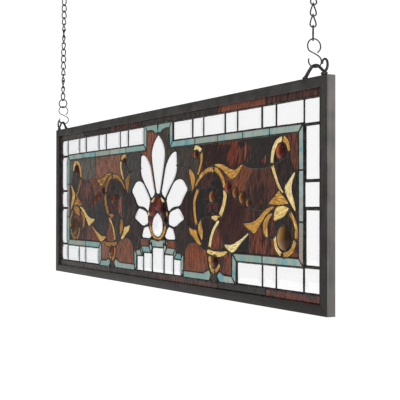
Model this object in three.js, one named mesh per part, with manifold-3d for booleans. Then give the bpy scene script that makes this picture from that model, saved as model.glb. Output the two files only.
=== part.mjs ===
// A stained glass window panel in a metal frame, hung on two chains.
// Millimetres, +Z up, front face to -Y. The origin is midway between the two points
// where the top rings bear on whatever holds them.
import * as THREE from "three";
import { mergeVertices } from "three/addons/utils/BufferGeometryUtils.js";
import Module from "manifold-3d";

const wasm = await Module();
wasm.setup();

// Framed panel.
const panelWidth = 915;
const panelHeight = 280;
const frameDepth = 12;
const frameFace = 13;
const frameWeb = 5.5;
const mitreGap = 0.15;
const touchGap = 0.3;

// Leaded sheet: glass of one thickness, with solder standing proud of its front.
const glassHalf = 1.6;
const solderFront = 2.5;
const sheetInFrame = 6;
const leadWidth = 3.6;
const proudRim = 2;
const clearFront = 2.6;
const bevelWidth = 5;
const bevelDepth = 1;

// Border blocks: squares and double blocks on one pitch.
const square = 30;
const double = 58;
const blockPitch = 96;
const blockEdge = 435;
const rowTop = 117.5;
const rowBottom = -115.5;

// Hanging wires.
const hangerX = 428.5;
const hangerWire = 1.5;
const hangerRise = 13.4;
const hookWire = 0.85;
const hookRadius = 8;
const linkWire = 0.8;
const linkFlat = linkWire / 2;
const linkLength = 15.4;
const linkWidth = 9.4;
const linkCount = 16;
const linkBite = 0.35;
const ringRadius = 8;
const topRingRadius = 9;
const topRingWire = 1.3;
const ringSlack = 0.9;

// Heights above the centre of the panel, from the frame up to the rings.
const archZ = panelHeight / 2 + hangerRise;
const hookLowZ = archZ - hangerWire - hookWire - touchGap + hookRadius;
const hookHighZ = hookLowZ + 18.3;
const ringZ = hookHighZ + hookRadius - hookWire - linkWire - touchGap + ringRadius;
const linkPitch = linkLength - 2 * linkWire - 2 * linkFlat + linkBite;
const firstLinkZ = ringZ + ringRadius - linkWire - 2 * linkFlat + linkBite + linkLength / 2;
const lastLinkTop = firstLinkZ + (linkCount - 1) * linkPitch + linkLength / 2 - linkWire;
const topRingZ = lastLinkTop - linkWire - topRingWire - ringSlack + topRingRadius;
const panelZ = -(topRingZ + topRingRadius - topRingWire);

const finish = (colour, roughness, metalness) => ({ color: colour, roughness, metalness });
const finishes = {
  frame: finish(0x3f3c39, 0.5, 0.8),
  solder: finish(0x35332f, 0.45, 0.8),
  wire: finish(0x4a4745, 0.4, 0.9),
  clear: { ...finish(0xeef3f3, 0.05, 0), transparent: true, opacity: 0.35 },
  white: finish(0xe9e6dc, 0.2, 0),
  amber: finish(0x7a4a22, 0.15, 0),
};

const root = new THREE.Group();
const panel = new THREE.Group();
panel.position.z = panelZ;
root.add(panel);

function addMesh(parent, name, geometry, look) {
  const mesh = new THREE.Mesh(geometry, new THREE.MeshStandardMaterial(finishes[look]));
  mesh.name = name;
  parent.add(mesh);
}

// Solids and geometries.
function solidOf(geometry) {
  const bare = geometry.index ? geometry.toNonIndexed() : geometry.clone();
  bare.deleteAttribute("normal");
  bare.deleteAttribute("uv");
  const merged = mergeVertices(bare, 1e-3);
  return new wasm.Manifold(
    new wasm.Mesh({
      numProp: 3,
      vertProperties: new Float32Array(merged.attributes.position.array),
      triVerts: new Uint32Array(merged.index.array),
    }),
  );
}

function geometryOf(solid) {
  const mesh = solid.getMesh();
  const geometry = new THREE.BufferGeometry();
  geometry.setAttribute("position", new THREE.BufferAttribute(mesh.vertProperties, 3));
  geometry.setIndex(new THREE.BufferAttribute(mesh.triVerts, 1));
  return geometry;
}

function join(solids) {
  return solids.reduce((whole, next) => whole.add(next));
}

// Drops the edges that joining leaves inside flat faces.
function tidied(solid) {
  return geometryOf(solid.asOriginal().simplify(0.02));
}

// Outlines lie in the plane of the glass, x to the right and z up, counter-clockwise.
const at = (x, z) => new THREE.Vector2(x, z);

function facing(outline) {
  return THREE.ShapeUtils.isClockWise(outline) ? outline.slice().reverse() : outline;
}

function along(knots, steps) {
  return new THREE.SplineCurve(knots.map(([x, z]) => at(x, z))).getPoints(steps);
}

function polygon(points) {
  return facing(points.map(([x, z]) => at(x, z)));
}

function block(left, right, low, high) {
  return polygon([[left, low], [right, low], [right, high], [left, high]]);
}

function disc(x, z, radius, sides = 8) {
  const turn = (2 * Math.PI) / sides;
  return Array.from({ length: sides }, (_, i) => {
    return at(x + radius * Math.cos(i * turn), z + radius * Math.sin(i * turn));
  });
}

// A leaf runs between two edges that share both tips.
function leaf([over, under], steps = 4) {
  const back = along([over[0], ...under, over[over.length - 1]], steps).slice(1, -1);
  return facing([...along(over, steps), ...back.reverse()]);
}

// A cut petal has a blunt foot between the starts of its two edges.
function petal([over, under], steps = 5) {
  return facing([...along(over, steps), ...along(under, steps).slice(0, -1).reverse()]);
}

// A ribbon of glass follows a line and changes width evenly from one end to the other.
function ribbon([line, startWidth, endWidth], steps = line.length > 3 ? 3 : 2) {
  const curve = new THREE.SplineCurve(line.map(([x, z]) => at(x, z)));
  const left = [];
  const right = [];
  for (let i = 0; i <= steps; i++) {
    const t = i / steps;
    const point = curve.getPoint(t);
    const tangent = curve.getTangent(t);
    const half = (startWidth + (endWidth - startWidth) * t) / 2;
    left.push(at(point.x - tangent.y * half, point.y + tangent.x * half));
    right.push(at(point.x + tangent.y * half, point.y - tangent.x * half));
  }
  return facing([...left, ...right.reverse()]);
}

function balanced(rightEdge, steps) {
  const right = along(rightEdge, steps);
  const left = right.map((p) => at(-p.x, p.y)).filter((p) => p.x < -0.01);
  return facing([...right, ...left.reverse()]);
}

function mirrored(outline) {
  return outline.map((p) => at(-p.x, p.y)).reverse();
}

// Moves every side of an outline out by a distance, or in where it is negative.
function grown(outline, distance) {
  const count = outline.length;
  return outline.map((p, i) => {
    const before = p.clone().sub(outline[(i + count - 1) % count]).normalize();
    const after = outline[(i + 1) % count].clone().sub(p).normalize();
    const out = at(before.y + after.y, -before.x - after.x);
    const half = out.length() / 2;
    return p.clone().addScaledVector(out.normalize(), distance / Math.max(half, 0.55));
  });
}

function slab(outline, back, front) {
  const shape = new THREE.Shape(outline);
  const geometry = new THREE.ExtrudeGeometry(shape, { depth: back - front, bevelEnabled: false });
  return geometry.rotateX(Math.PI / 2).translate(0, back, 0);
}

// Clear blocks have a bevel ground round their front face.
function bevelled(outline) {
  const options = {
    depth: 2 * glassHalf + clearFront,
    bevelEnabled: true,
    bevelThickness: bevelDepth,
    bevelSize: bevelWidth,
    bevelOffset: -bevelWidth,
    bevelSegments: 1,
  };
  const shape = new THREE.ExtrudeGeometry(new THREE.Shape(outline), options);
  shape.rotateX(Math.PI / 2).translate(0, options.depth - clearFront + bevelDepth, 0);
  const keep = slab(grown(outline, 2), glassHalf, -2 * clearFront);
  return geometryOf(solidOf(shape).intersect(solidOf(keep)));
}

// Clear glass.
const clearPieces = [];

function addBlock(name, outline) {
  clearPieces.push({ name, outline, ground: true });
}

for (const [side, name] of [[1, "right"], [-1, "left"]]) {
  const sided = (outline) => (side > 0 ? outline : mirrored(outline));
  const inner = blockEdge - square - 3.5;
  const columnLeft = blockEdge - square + 3;
  addBlock("corner_block_top_" + name, sided(block(blockEdge - square, blockEdge, 87.5, rowTop)));
  addBlock("corner_block_low_" + name, sided(block(columnLeft - 3, blockEdge, rowBottom, -86.5)));
  for (let i = 0; i < 4; i++) {
    const right = inner - i * blockPitch;
    const outline = block(right - double, right, 89, rowTop);
    addBlock("top_double_" + name + "_" + (i + 1), sided(outline));
  }
  for (let i = 0; i < 3; i++) {
    const right = inner - double - 3.8 - i * blockPitch;
    const outline = block(right - square + 0.5, right, 89, rowTop);
    addBlock("top_square_" + name + "_" + (i + 1), sided(outline));
  }
  addBlock("side_double_top_" + name, sided(block(columnLeft, blockEdge, 20, 84)));
  addBlock("side_square_" + name, sided(block(columnLeft - 2.5, blockEdge, -13, 16.5)));
  addBlock("side_double_low_" + name, sided(block(columnLeft, blockEdge, -83, -17)));
  addBlock("low_double_1_" + name, sided(block(inner - double, inner - 1, rowBottom, -87.5)));
  addBlock("low_square_" + name, sided(block(311, 340, rowBottom, -87.5)));
  addBlock("low_double_2_" + name, sided(block(247, 307, rowBottom, -87.5)));
}

// The palmette: one upright petal, then four on each side from the top down.
const centrePetal = [[0, 100], [13.7, 90], [22, 78], [23.6, 68], [20, 52], [11.5, 25], [5.3, 7.8]];
const sidePetals = [
  [
    [[11.7, 8.9], [22.2, 36.7], [27.5, 50], [37, 61], [49, 69], [63.3, 71.7]],
    [[24.4, 0.6], [38, 14.5], [58, 32.5], [65, 47], [63.3, 71.7]],
  ],
  [
    [[28.9, -1.1], [42, 12], [56, 24.5], [71, 28.7], [86, 26], [100.6, 13.3]],
    [[36.7, -20], [50, -15.5], [64, -12.8], [77, -9.5], [87, 1], [100.6, 13.3]],
  ],
  [
    [[38.9, -23.3], [48, -18.5], [60, -15.8], [74, -17], [89.4, -31.1]],
    [[37, -40], [50, -43], [62, -42], [76, -36], [89.4, -31.1]],
  ],
  [
    [[23.3, -57.2], [31, -47.5], [40, -44.7], [52, -47.5], [60.6, -61.7]],
    [[27.8, -61.1], [40, -64.2], [60.6, -61.7]],
  ],
];
const pillars = [
  [[23.5, -87], [52, -87], [52, -116.5], [23.5, -116.5]],
  [[56, -93], [78, -93], [78, -116], [56, -116]],
];
clearPieces.push({ name: "petal_top", outline: balanced(centrePetal, 7) });
sidePetals.forEach((edges, i) => {
  const outline = petal(edges);
  clearPieces.push({ name: "petal_right_" + (i + 1), outline });
  clearPieces.push({ name: "petal_left_" + (i + 1), outline: mirrored(outline) });
});
addBlock("pillar_centre", block(-19, 19, -116, -77.5));
pillars.forEach((corners, i) => {
  const outline = polygon(corners);
  addBlock("pillar_right_" + (i + 1), outline);
  addBlock("pillar_left_" + (i + 1), mirrored(outline));
});

// The white drop at the heart of the palmette.
const drop = balanced([[0, -23], [12, -30], [17.5, -41], [16, -51], [9, -57.5], [0, -59.5]], 6);

// Large domed jewel at the end of each scroll.
const jewel = { x: 361, z: -52, radius: 15, rise: 3 };

// Amber leaves of one scroll, each as its upper edge and the knots of its lower edge.
const leaves = [
  [
    [[182.8, 45.9], [205, 45], [229, 37.2], [244, 36.8], [259.4, 43.3]],
    [[200, 42], [216, 33.8], [230, 25.8], [246, 31.2]],
  ],
  [
    [[162.8, -77.2], [167, -74], [180, -76.2], [205, -76.3], [220, -74.7]],
    [[172, -79.4], [190, -81.7], [207, -80]],
  ],
  [
    [[211.7, -65.6], [229, -66], [246, -61], [262, -55], [276.7, -47.8]],
    [[230, -74], [241, -71], [258, -59]],
  ],
  [
    [[263.3, -35.6], [282, -35], [300, -29], [320, -16.7], [338, -13]],
    [[281, -43.3], [292, -46.5], [305, -34], [326, -18.6]],
  ],
  [
    [[334, -21.7], [321, -25], [313.5, -34], [314, -46], [322.8, -51.7]],
    [[326, -28], [321.5, -37], [322, -45]],
  ],
  [[[327.2, -8.3], [340, -0.5], [349.4, 5.6], [358, 0], [368.9, -8.3]], [[348, -9.5]]],
  [
    [[338.3, -30], [341, -17.8], [350, -12.8], [361, -13], [371, -15.6]],
    [[349, -27], [359, -24.4]],
  ],
  [
    [[385, 29.4], [371, 17.8], [363.3, 9], [371, -3], [386, -18.3]],
    [[378, 17], [376.8, 6], [381, -4]],
  ],
  [
    [[106.7, -44], [120, -47.5], [129, -48.3], [134, -58], [144, -67.2]],
    [[113, -52], [125, -58.5], [134, -66]],
  ],
  [
    [[143.5, -32.8], [136.5, -40], [136.5, -48], [144.4, -57.8], [148, -59.4]],
    [[144, -37], [147.5, -47]],
  ],
  [
    [[107.8, 42.8], [117, 37], [124, 30], [121.5, 18], [116.5, 10]],
    [[108.5, 36], [113, 27], [115.5, 19]],
  ],
  [[[175, -27.5], [187, -26.2], [198, -27]], [[187, -31.5]]],
];

// Amber ribbons of one scroll: line, width at its start and at its end.
const ribbons = [
  [[[179, 40], [165, 39.5], [150, 35], [138, 28], [127.5, 18]], 5, 2],
  [[[184.4, 40.6], [198, 34.4], [207, 25], [212.5, 14]], 4.5, 5],
  [[[213, 9], [213.3, 0], [209, -12], [200.6, -24]], 6.5, 6],
  [[[196, -32], [182, -44.4], [174, -57], [170, -69]], 3, 5],
  [[[133.9, 11.7], [125, -1], [123.5, -12], [125, -24], [129.4, -37]], 4.5, 4.5],
  [[[170.5, -84], [170.5, -91], [174, -99], [182, -104]], 5, 4.5],
  [[[198, -94.4], [193, -99], [187, -102.5]], 3.5, 4],
  [[[334.5, 38], [342, 24], [350, 12], [358.3, 4.4]], 4, 1.5],
  [[[355.6, 71], [345, 68], [336, 58], [333, 44]], 6, 4.5],
  [[[360, 72], [368, 66.5], [372, 57]], 6, 3],
  [[[375, -21], [384, -31], [388, -41], [387.5, -51]], 3.5, 4.5],
  [[[385, -56], [379, -66], [370, -71], [360, -73]], 4.5, 4],
  [[[353, -72], [343, -64], [339.5, -52]], 4, 4.5],
  [[[123.3, 72.8], [133, 73.2], [143.3, 68.5]], 3.5, 4],
  [[[145, 64.4], [145.3, 55.6], [141.5, 45.5], [134, 34]], 5, 2],
];

// Small round jewels: x, z and radius.
const jewels = [
  [353.5, 56.5, 9],
  [128.3, 63.3, 5],
  [177.8, 1, 7.5],
  [184, -90, 8],
  [222, 13.5, 7],
  [242, 6, 6.3],
  [260, -1, 7],
  [275.5, -8, 4.5],
  [18.5, -17, 8.5],
  [26.5, -34, 5],
];

// Teal strips of one half: the border of the dark field and the stepped foot.
const strips = [
  [[4, 118], [45.5, 118], [40.5, 111], [24.4, 111], [16.7, 109.4], [9, 105], [2, 106]],
  [[43.5, 111], [50, 117.5], [50, 88.5], [43.5, 82]],
  [[46.5, 79.5], [122.5, 79.5], [122.5, 86], [53, 86]],
  [[126.5, 79.5], [191, 79.5], [191, 86], [126.5, 86]],
  [[194.7, 79.5], [258.5, 79.5], [258.5, 86], [194.7, 86]],
  [[262.3, 79.5], [325.3, 79.5], [325.3, 86], [262.3, 86]],
  [[329, 79.5], [391.5, 79.5], [398, 86], [329, 86]],
  [[394.5, 33.3], [401.5, 33.3], [401.5, 84], [394.5, 77]],
  [[394.5, -29.5], [401.5, -29.5], [401.5, 29.5], [394.5, 29.5]],
  [[394.5, -75], [401.5, -82], [401.5, -33.5], [394.5, -33.5]],
  [[311.7, -84.5], [399, -84.5], [392, -77.3], [311.7, -77.3]],
  [[245, -84.5], [307.5, -84.5], [307.5, -77.3], [237.5, -77.3]],
  [[234, -79.5], [241.5, -87.5], [241.5, -115], [234, -107.5]],
  [[196, -104.5], [209, -109], [230, -109.4], [238, -117], [200, -117], [192.5, -109]],
  [[168, -104], [171.5, -109], [166, -117], [92, -117], [88, -109.4], [151, -109.4]],
  [[82.3, -112], [87.3, -112], [87.3, -87], [82.3, -87]],
  [[34.5, -78], [60, -78], [54, -84.5], [28.5, -84.5]],
  [[66, -84], [84, -84], [79, -90.5], [60.5, -90.5]],
];

const capstone = [[-24.5, -66.7], [24.5, -66.7], [20.5, -74.5], [-20.5, -74.5]];

// Brown glass under the scroll, the small brown tile and the amber crescent of the drop.
const brownArch = [
  [92, -106], [95.6, -79], [104, -71], [113, -67.5], [129, -67.5], [159, -77], [164, -99], [150, -106],
];
const brownTile = [[36, -66.5], [62, -66], [62, -74.5], [34, -74.5]];
const crescent = [[[-28, -40], [-24, -50], [-14, -59], [0, -63], [14, -59], [24, -50], [28, -40]], 4, 4];

// Dark red strips along the top and bottom edge of the sheet, and where they are jointed.
const edgeStrip = [119.5, 127];
const edgeJoints = [-441, -318, -193, 0, 193, 318, 441];

// Edge of the dark field of one half, from the cusp over the palmette down to its foot.
const fieldEdge = [
  [0, 102.5], [9, 101.5], [17, 106], [39.7, 107.5], [39.7, 76.2], [391.2, 76.2], [391.2, -74],
  [230.7, -74], [230.7, -106], [210, -105.6], [197, -101], [189, -108], [189, -118], [175, -118],
  [175, -109], [169, -100.5], [160, -100], [150, -106.2], [90.6, -106.2], [90.6, -83.5],
  [65.5, -80.5], [65.5, -63], [0, -63],
];

// Solder joints that cross the dark field of one half.
const fieldJoints = [
  [[260, 42], [260, 78]],
  [[260, 44.5], [288, 37]],
  [[288, 37], [334, 39.5]],
  [[277, -46], [277, -76]],
];

const bothHalves = (outlines) => [...outlines, ...outlines.map(mirrored)];

// Flat strips lie below the solder round them. The scrolls and jewels stand level with it.
const arch = polygon(brownArch);
const tinted = bothHalves([...strips.map(polygon), polygon(brownTile), arch]);
const proud = bothHalves([
  ...leaves.map((edges) => leaf(edges)),
  ...ribbons.map((line) => ribbon(line)),
  ...jewels.map(([x, z, radius]) => disc(x, z, radius, radius < 6 ? 6 : 8)),
]);
proud.push(disc(0, -7, 10), ribbon(crescent, 6));
tinted.push(polygon(capstone));
for (let i = 1; i < edgeJoints.length; i++) {
  const ends = [edgeJoints[i - 1] + leadWidth / 2, edgeJoints[i] - leadWidth / 2];
  tinted.push(block(...ends, edgeStrip[0], edgeStrip[1]));
  tinted.push(block(...ends, -edgeStrip[1], -edgeStrip[0]));
}

// The sheet: a plate with raised solder, a sunk field, pockets for tinted glass and holes for clear glass.
function leadedPanel() {
  const width = panelWidth / 2 - frameFace + sheetInFrame;
  const height = panelHeight / 2 - frameFace + sheetInFrame;
  const jewelHole = disc(jewel.x, jewel.z, jewel.radius + touchGap, 12);
  const petals = clearPieces.filter((p) => !p.ground).map((p) => p.outline);
  const blocks = clearPieces.filter((p) => p.ground).map((p) => p.outline);
  const fieldHoles = [...petals, drop, jewelHole, mirrored(jewelHole)];
  const joints = fieldJoints.map((ends) => ribbon([ends, leadWidth, leadWidth], 1));
  const halfField = fieldEdge.map(([x, z]) => at(x, z));
  const field = facing([...halfField, ...mirrored(halfField).filter((p) => p.x < 0)]);
  const raised = (outline) => solidOf(slab(outline, 0, -solderFront));
  const sunk = (outline) => solidOf(slab(outline, -glassHalf, -2 * solderFront));
  const through = (outline) => solidOf(slab(outline, 2 * solderFront, -2 * solderFront));
  const plate = solidOf(slab(block(-width, width, -height, height), glassHalf, -solderFront));
  const rims = bothHalves([arch]).concat(fieldHoles).map((o) => raised(grown(o, leadWidth)));
  const lines = [...proud.map((o) => grown(o, proudRim)), ...bothHalves(joints)].map(raised);
  let body = join([plate.subtract(sunk(field)), ...rims, ...lines]);
  for (const cut of [...tinted.map(sunk), ...fieldHoles.map(through), ...blocks.map(through)]) {
    body = body.subtract(cut);
  }
  return tidied(body);
}

addMesh(panel, "leaded_panel", leadedPanel(), "solder");
for (const piece of clearPieces) {
  const outline = grown(piece.outline, -touchGap);
  const shape = piece.ground ? bevelled(outline) : slab(outline, glassHalf, -clearFront);
  addMesh(panel, piece.name, shape, "clear");
}
addMesh(panel, "centre_drop", slab(grown(drop, -touchGap), glassHalf, -clearFront), "white");

function jewelDome() {
  const profile = [new THREE.Vector2(0, -glassHalf), new THREE.Vector2(jewel.radius, -glassHalf)];
  for (const share of [0, 0.45, 1]) {
    const angle = (share * Math.PI) / 2;
    const across = share < 1 ? jewel.radius * Math.cos(angle) : 0;
    profile.push(new THREE.Vector2(across, glassHalf + jewel.rise * Math.sin(angle)));
  }
  const dome = new THREE.LatheGeometry(profile, 12);
  return dome.rotateX(Math.PI);
}

for (const [side, name] of [[1, "right"], [-1, "left"]]) {
  const dome = jewelDome().translate(side * jewel.x, 0, jewel.z);
  addMesh(panel, "scroll_jewel_" + name, dome, "amber");
}

// One mitred length of the channel. Its section runs from the outer edge in to the sight edge.
function channel(length) {
  const face = frameDepth / 2;
  const groove = solderFront + touchGap;
  const section = new THREE.Shape([
    at(0, -face), at(frameFace, -face), at(frameFace, -groove), at(frameWeb, -groove),
    at(frameWeb, groove), at(frameFace, groove), at(frameFace, face), at(0, face),
  ]);
  const bar = new THREE.ExtrudeGeometry(section, { depth: 1, bevelEnabled: false });
  const place = bar.attributes.position;
  for (let i = 0; i < place.count; i++) {
    const inward = place.getX(i);
    const across = place.getY(i);
    const reach = length / 2 - inward - mitreGap;
    place.setXYZ(i, (2 * place.getZ(i) - 1) * reach, across, -inward);
  }
  return bar;
}

function addBar(name, length, distance, angle) {
  const bar = channel(length).translate(0, 0, distance).rotateY(angle);
  addMesh(panel, name, bar, "frame");
}
addBar("frame_top", panelWidth, panelHeight / 2, 0);
addBar("frame_right", panelHeight, panelWidth / 2, Math.PI / 2);
addBar("frame_bottom", panelWidth, panelHeight / 2, Math.PI);
addBar("frame_left", panelHeight, panelWidth / 2, -Math.PI / 2);

// Bent wires.
function wire(points, radius, sides, steps) {
  const section = new THREE.Shape(disc(0, 0, radius, sides));
  const path = new THREE.CatmullRomCurve3(points);
  return new THREE.ExtrudeGeometry(section, { steps, extrudePath: path });
}

// Arch over the frame with its outer end curled into an eye, from the centre of the arch.
const hangerLine = [
  [-20.5, -13], [-19.2, -8], [-14.5, -2.8], [-6, -0.2], [2, 0], [9, -2], [14.5, -6.5],
  [19.5, -10.4], [23.3, -7], [24.5, -1.9], [22.5, 3.6], [18, 6.4], [13.5, 5], [11.8, 1.6], [14.6, 0.2],
];

function hanger(side) {
  const points = hangerLine.map(([x, z]) => new THREE.Vector3(side * (hangerX + x), 0, archZ + z));
  return wire(points, hangerWire, 4, 20);
}

function arcPoints(z, from, to, count) {
  return Array.from({ length: count }, (_, i) => {
    const angle = THREE.MathUtils.degToRad(from + ((to - from) * i) / (count - 1));
    return new THREE.Vector3(0, hookRadius * Math.cos(angle), z + hookRadius * Math.sin(angle));
  });
}

function sHook(side) {
  const low = arcPoints(hookLowZ, 160, 390, 8);
  const high = arcPoints(hookHighZ, 210, -42, 9);
  return wire([...low, ...high], hookWire, 4, 20).translate(side * hangerX, 0, 0);
}

// A closed link: a ring drawn out along its length and turned from one end to the other.
function link(z, { length, width, wireRadius, turn, twist, sides, steps }) {
  const radius = (width / 2 - wireRadius) / Math.cos(Math.PI / steps);
  const stretch = (length - width) / 2;
  const geometry = new THREE.TorusGeometry(radius, wireRadius, sides, steps);
  geometry.rotateZ(Math.PI / steps);
  const place = geometry.attributes.position;
  for (let i = 0; i < place.count; i++) {
    const x = place.getX(i);
    const y = place.getY(i) + Math.sign(place.getY(i)) * stretch;
    const depth = place.getZ(i);
    const angle = turn + (twist * y) / (length - 2 * wireRadius);
    const sin = Math.sin(angle);
    const cos = Math.cos(angle);
    place.setXYZ(i, x * cos + depth * sin, x * sin - depth * cos, z + y);
  }
  return geometry;
}

function chain(side, ringTurn, chainTurn) {
  const across = 2 * ringRadius + 2 * linkWire;
  const plain = { wireRadius: linkWire, sides: 3, steps: 8 };
  const ring = { ...plain, length: across, width: across, turn: ringTurn, twist: 0 };
  const pieces = [solidOf(link(ringZ, ring))];
  for (let i = 0; i < linkCount; i++) {
    const turn = chainTurn + i * 0.09;
    const shape = { ...plain, length: linkLength, width: linkWidth, turn, twist: Math.PI / 2 };
    pieces.push(solidOf(link(firstLinkZ + i * linkPitch, shape)));
  }
  return tidied(join(pieces)).translate(side * hangerX, 0, 0);
}

function topRing(side) {
  const across = 2 * topRingRadius + 2 * topRingWire;
  const size = { length: across, width: across, wireRadius: topRingWire, sides: 4, steps: 12 };
  return link(topRingZ, { ...size, turn: Math.PI / 2, twist: 0 }).translate(side * hangerX, 0, 0);
}

addMesh(panel, "hanger_right", hanger(1), "wire");
addMesh(panel, "hanger_left", hanger(-1), "wire");
addMesh(panel, "s_hook_right", sHook(1), "wire");
addMesh(panel, "s_hook_left", sHook(-1), "wire");
addMesh(panel, "chain_right", chain(1, 2.65, 0.6), "wire");
addMesh(panel, "chain_left", chain(-1, 0.85, 0.4), "wire");
addMesh(panel, "top_ring_right", topRing(1), "wire");
addMesh(panel, "top_ring_left", topRing(-1), "wire");

export default root;
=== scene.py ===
import math
import bpy
from mathutils import Matrix, Vector, noise
from mathutils.geometry import delaunay_2d_cdt


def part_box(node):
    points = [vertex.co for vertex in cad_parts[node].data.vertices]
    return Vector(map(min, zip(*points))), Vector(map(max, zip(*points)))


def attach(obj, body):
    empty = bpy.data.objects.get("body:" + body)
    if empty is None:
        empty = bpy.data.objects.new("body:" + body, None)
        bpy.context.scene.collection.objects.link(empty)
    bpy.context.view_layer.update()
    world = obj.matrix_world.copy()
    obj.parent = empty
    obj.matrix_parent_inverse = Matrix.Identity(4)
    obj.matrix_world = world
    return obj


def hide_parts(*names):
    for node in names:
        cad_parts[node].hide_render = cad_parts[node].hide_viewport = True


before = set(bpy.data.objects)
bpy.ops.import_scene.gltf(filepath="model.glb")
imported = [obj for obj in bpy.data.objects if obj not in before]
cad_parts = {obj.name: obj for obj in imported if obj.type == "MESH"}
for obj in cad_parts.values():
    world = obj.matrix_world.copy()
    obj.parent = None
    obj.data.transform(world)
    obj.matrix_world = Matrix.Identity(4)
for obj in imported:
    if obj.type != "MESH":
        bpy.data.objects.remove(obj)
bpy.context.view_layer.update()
mm = 0.001
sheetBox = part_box("leaded_panel")
panelZ = (sheetBox[0].z + sheetBox[1].z) / 2  # height of the panel's centre
print("frame loaded, panel centre at", round(panelZ, 4))


# Colours and nodes.
def linearColour(hexColour):
    parts = [int(hexColour[i:i + 2], 16) / 255 for i in (1, 3, 5)]
    return [*[c / 12.92 if c < 0.04045 else ((c + 0.055) / 1.055) ** 2.4 for c in parts], 1.0]


def addNode(material, kind, settings=None, links=None):
    node = material.node_tree.nodes.new(kind)
    for name, value in (settings or {}).items():
        if name == "stops":  # colour ramp positions and colours
            while len(node.color_ramp.elements) < len(value):
                node.color_ramp.elements.new(0.5)
            for element, (position, colour) in zip(node.color_ramp.elements, value):
                element.position = position
                element.color = colour
        elif isinstance(name, int) or name in node.inputs:
            node.inputs[name].default_value = value
        else:
            setattr(node, name, value)
    for name, source in (links or {}).items():
        material.node_tree.links.new(source, node.inputs[name])
    return node


def newMaterial(name):
    material = bpy.data.materials.new(name)
    material.use_nodes = True
    material.node_tree.nodes.clear()
    return material


def finishMaterial(material, settings, links=None):
    shader = addNode(material, "ShaderNodeBsdfPrincipled", settings, links)
    addNode(material, "ShaderNodeOutputMaterial", links={"Surface": shader.outputs["BSDF"]})
    return material


def greyStops(low, high, dark=0.0, light=1.0):
    return [(low, (dark, dark, dark, 1)), (high, (light, light, light, 1))]


# Lead-tin solder, run over copper foil and blackened with patina: dark satin beads,
# a little lighter in patches that a cloth has rubbed.
def blackenedSolder():
    look = {"patina": "#2b2926", "rubbed": "#5b5751", "roughness": (0.38, 0.6), "metallic": 0.75,
            "clouds": 9, "pits": 1.6}
    material = newMaterial("blackenedSolder")
    place = addNode(material, "ShaderNodeTexCoord").outputs["Object"]
    clouds = addNode(material, "ShaderNodeTexNoise",
                     {"Scale": 1 / (look["clouds"] * mm), "Detail": 5.0, "Roughness": 0.6},
                     {"Vector": place})
    pits = addNode(material, "ShaderNodeTexNoise",
                   {"Scale": 1 / (look["pits"] * mm), "Detail": 3.0}, {"Vector": place})
    share = addNode(material, "ShaderNodeValToRGB", {"stops": greyStops(0.45, 0.75)},
                    {"Fac": clouds.outputs["Fac"]})
    colour = addNode(material, "ShaderNodeMix", {
        "data_type": "RGBA", 6: linearColour(look["patina"]), 7: linearColour(look["rubbed"]),
    }, {0: share.outputs["Color"]})
    rough = addNode(material, "ShaderNodeMapRange", {
        "To Min": look["roughness"][0], "To Max": look["roughness"][1],
    }, {"Value": clouds.outputs["Fac"]})
    bump = addNode(material, "ShaderNodeBump", {"Strength": 0.35, "Distance": 0.3 * mm},
                   {"Height": pits.outputs["Fac"]})
    return finishMaterial(material, {"Metallic": look["metallic"]}, {
        "Base Color": colour.outputs[2], "Roughness": rough.outputs[0], "Normal": bump.outputs[0],
    })


# Rolled zinc channel with a dark bronze patina: fine lines along each bar from the rolls,
# under a cloudy patina. Real lines are finer, and these are as coarse as they need to show.
def patinatedZinc():
    look = {"dark": "#3c3a38", "light": "#5e5a57", "roughness": (0.42, 0.6), "metallic": 0.7,
            "lines": (90, 0.9), "clouds": 22}
    material = newMaterial("patinatedZinc")
    # sheetColour holds painted shade: darker towards one end of the bottom bar and of the right bar.
    tone = addNode(material, "ShaderNodeAttribute", {"attribute_name": "sheetColour"})
    along = addNode(material, "ShaderNodeUVMap", {"uv_map": "length"}).outputs["UV"]
    rolled = addNode(material, "ShaderNodeMapping", {
        "Scale": (1 / (look["lines"][0] * mm), 1 / (look["lines"][1] * mm), 1),
    }, {"Vector": along})
    lines = addNode(material, "ShaderNodeTexNoise", {"Scale": 1.0, "Detail": 4.0},
                    {"Vector": rolled.outputs["Vector"]})
    place = addNode(material, "ShaderNodeTexCoord").outputs["Object"]
    clouds = addNode(material, "ShaderNodeTexNoise", {"Scale": 1 / (look["clouds"] * mm), "Detail": 6.0},
                     {"Vector": place})
    total = addNode(material, "ShaderNodeMath", {"operation": "ADD"},
                    {0: lines.outputs["Fac"], 1: clouds.outputs["Fac"]})
    mean = addNode(material, "ShaderNodeMath", {"operation": "MULTIPLY", 1: 0.5}, {0: total.outputs[0]})
    share = addNode(material, "ShaderNodeValToRGB", {"stops": greyStops(0.38, 0.66)},
                    {"Fac": mean.outputs[0]})
    patina = addNode(material, "ShaderNodeMix", {
        "data_type": "RGBA", 6: linearColour(look["dark"]), 7: linearColour(look["light"]),
    }, {0: share.outputs["Color"]})
    rough = addNode(material, "ShaderNodeMapRange", {
        "To Min": look["roughness"][0], "To Max": look["roughness"][1],
    }, {"Value": clouds.outputs["Fac"]})
    colour = addNode(material, "ShaderNodeMix", {"data_type": "RGBA", "blend_type": "MULTIPLY", 0: 1.0},
                     {6: patina.outputs[2], 7: tone.outputs["Color"]})
    bump = addNode(material, "ShaderNodeBump", {"Strength": 0.2, "Distance": 0.15 * mm},
                   {"Height": lines.outputs["Fac"]})
    return finishMaterial(material, {"Metallic": look["metallic"]}, {
        "Base Color": colour.outputs[2], "Roughness": rough.outputs[0], "Normal": bump.outputs[0],
    })


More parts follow.
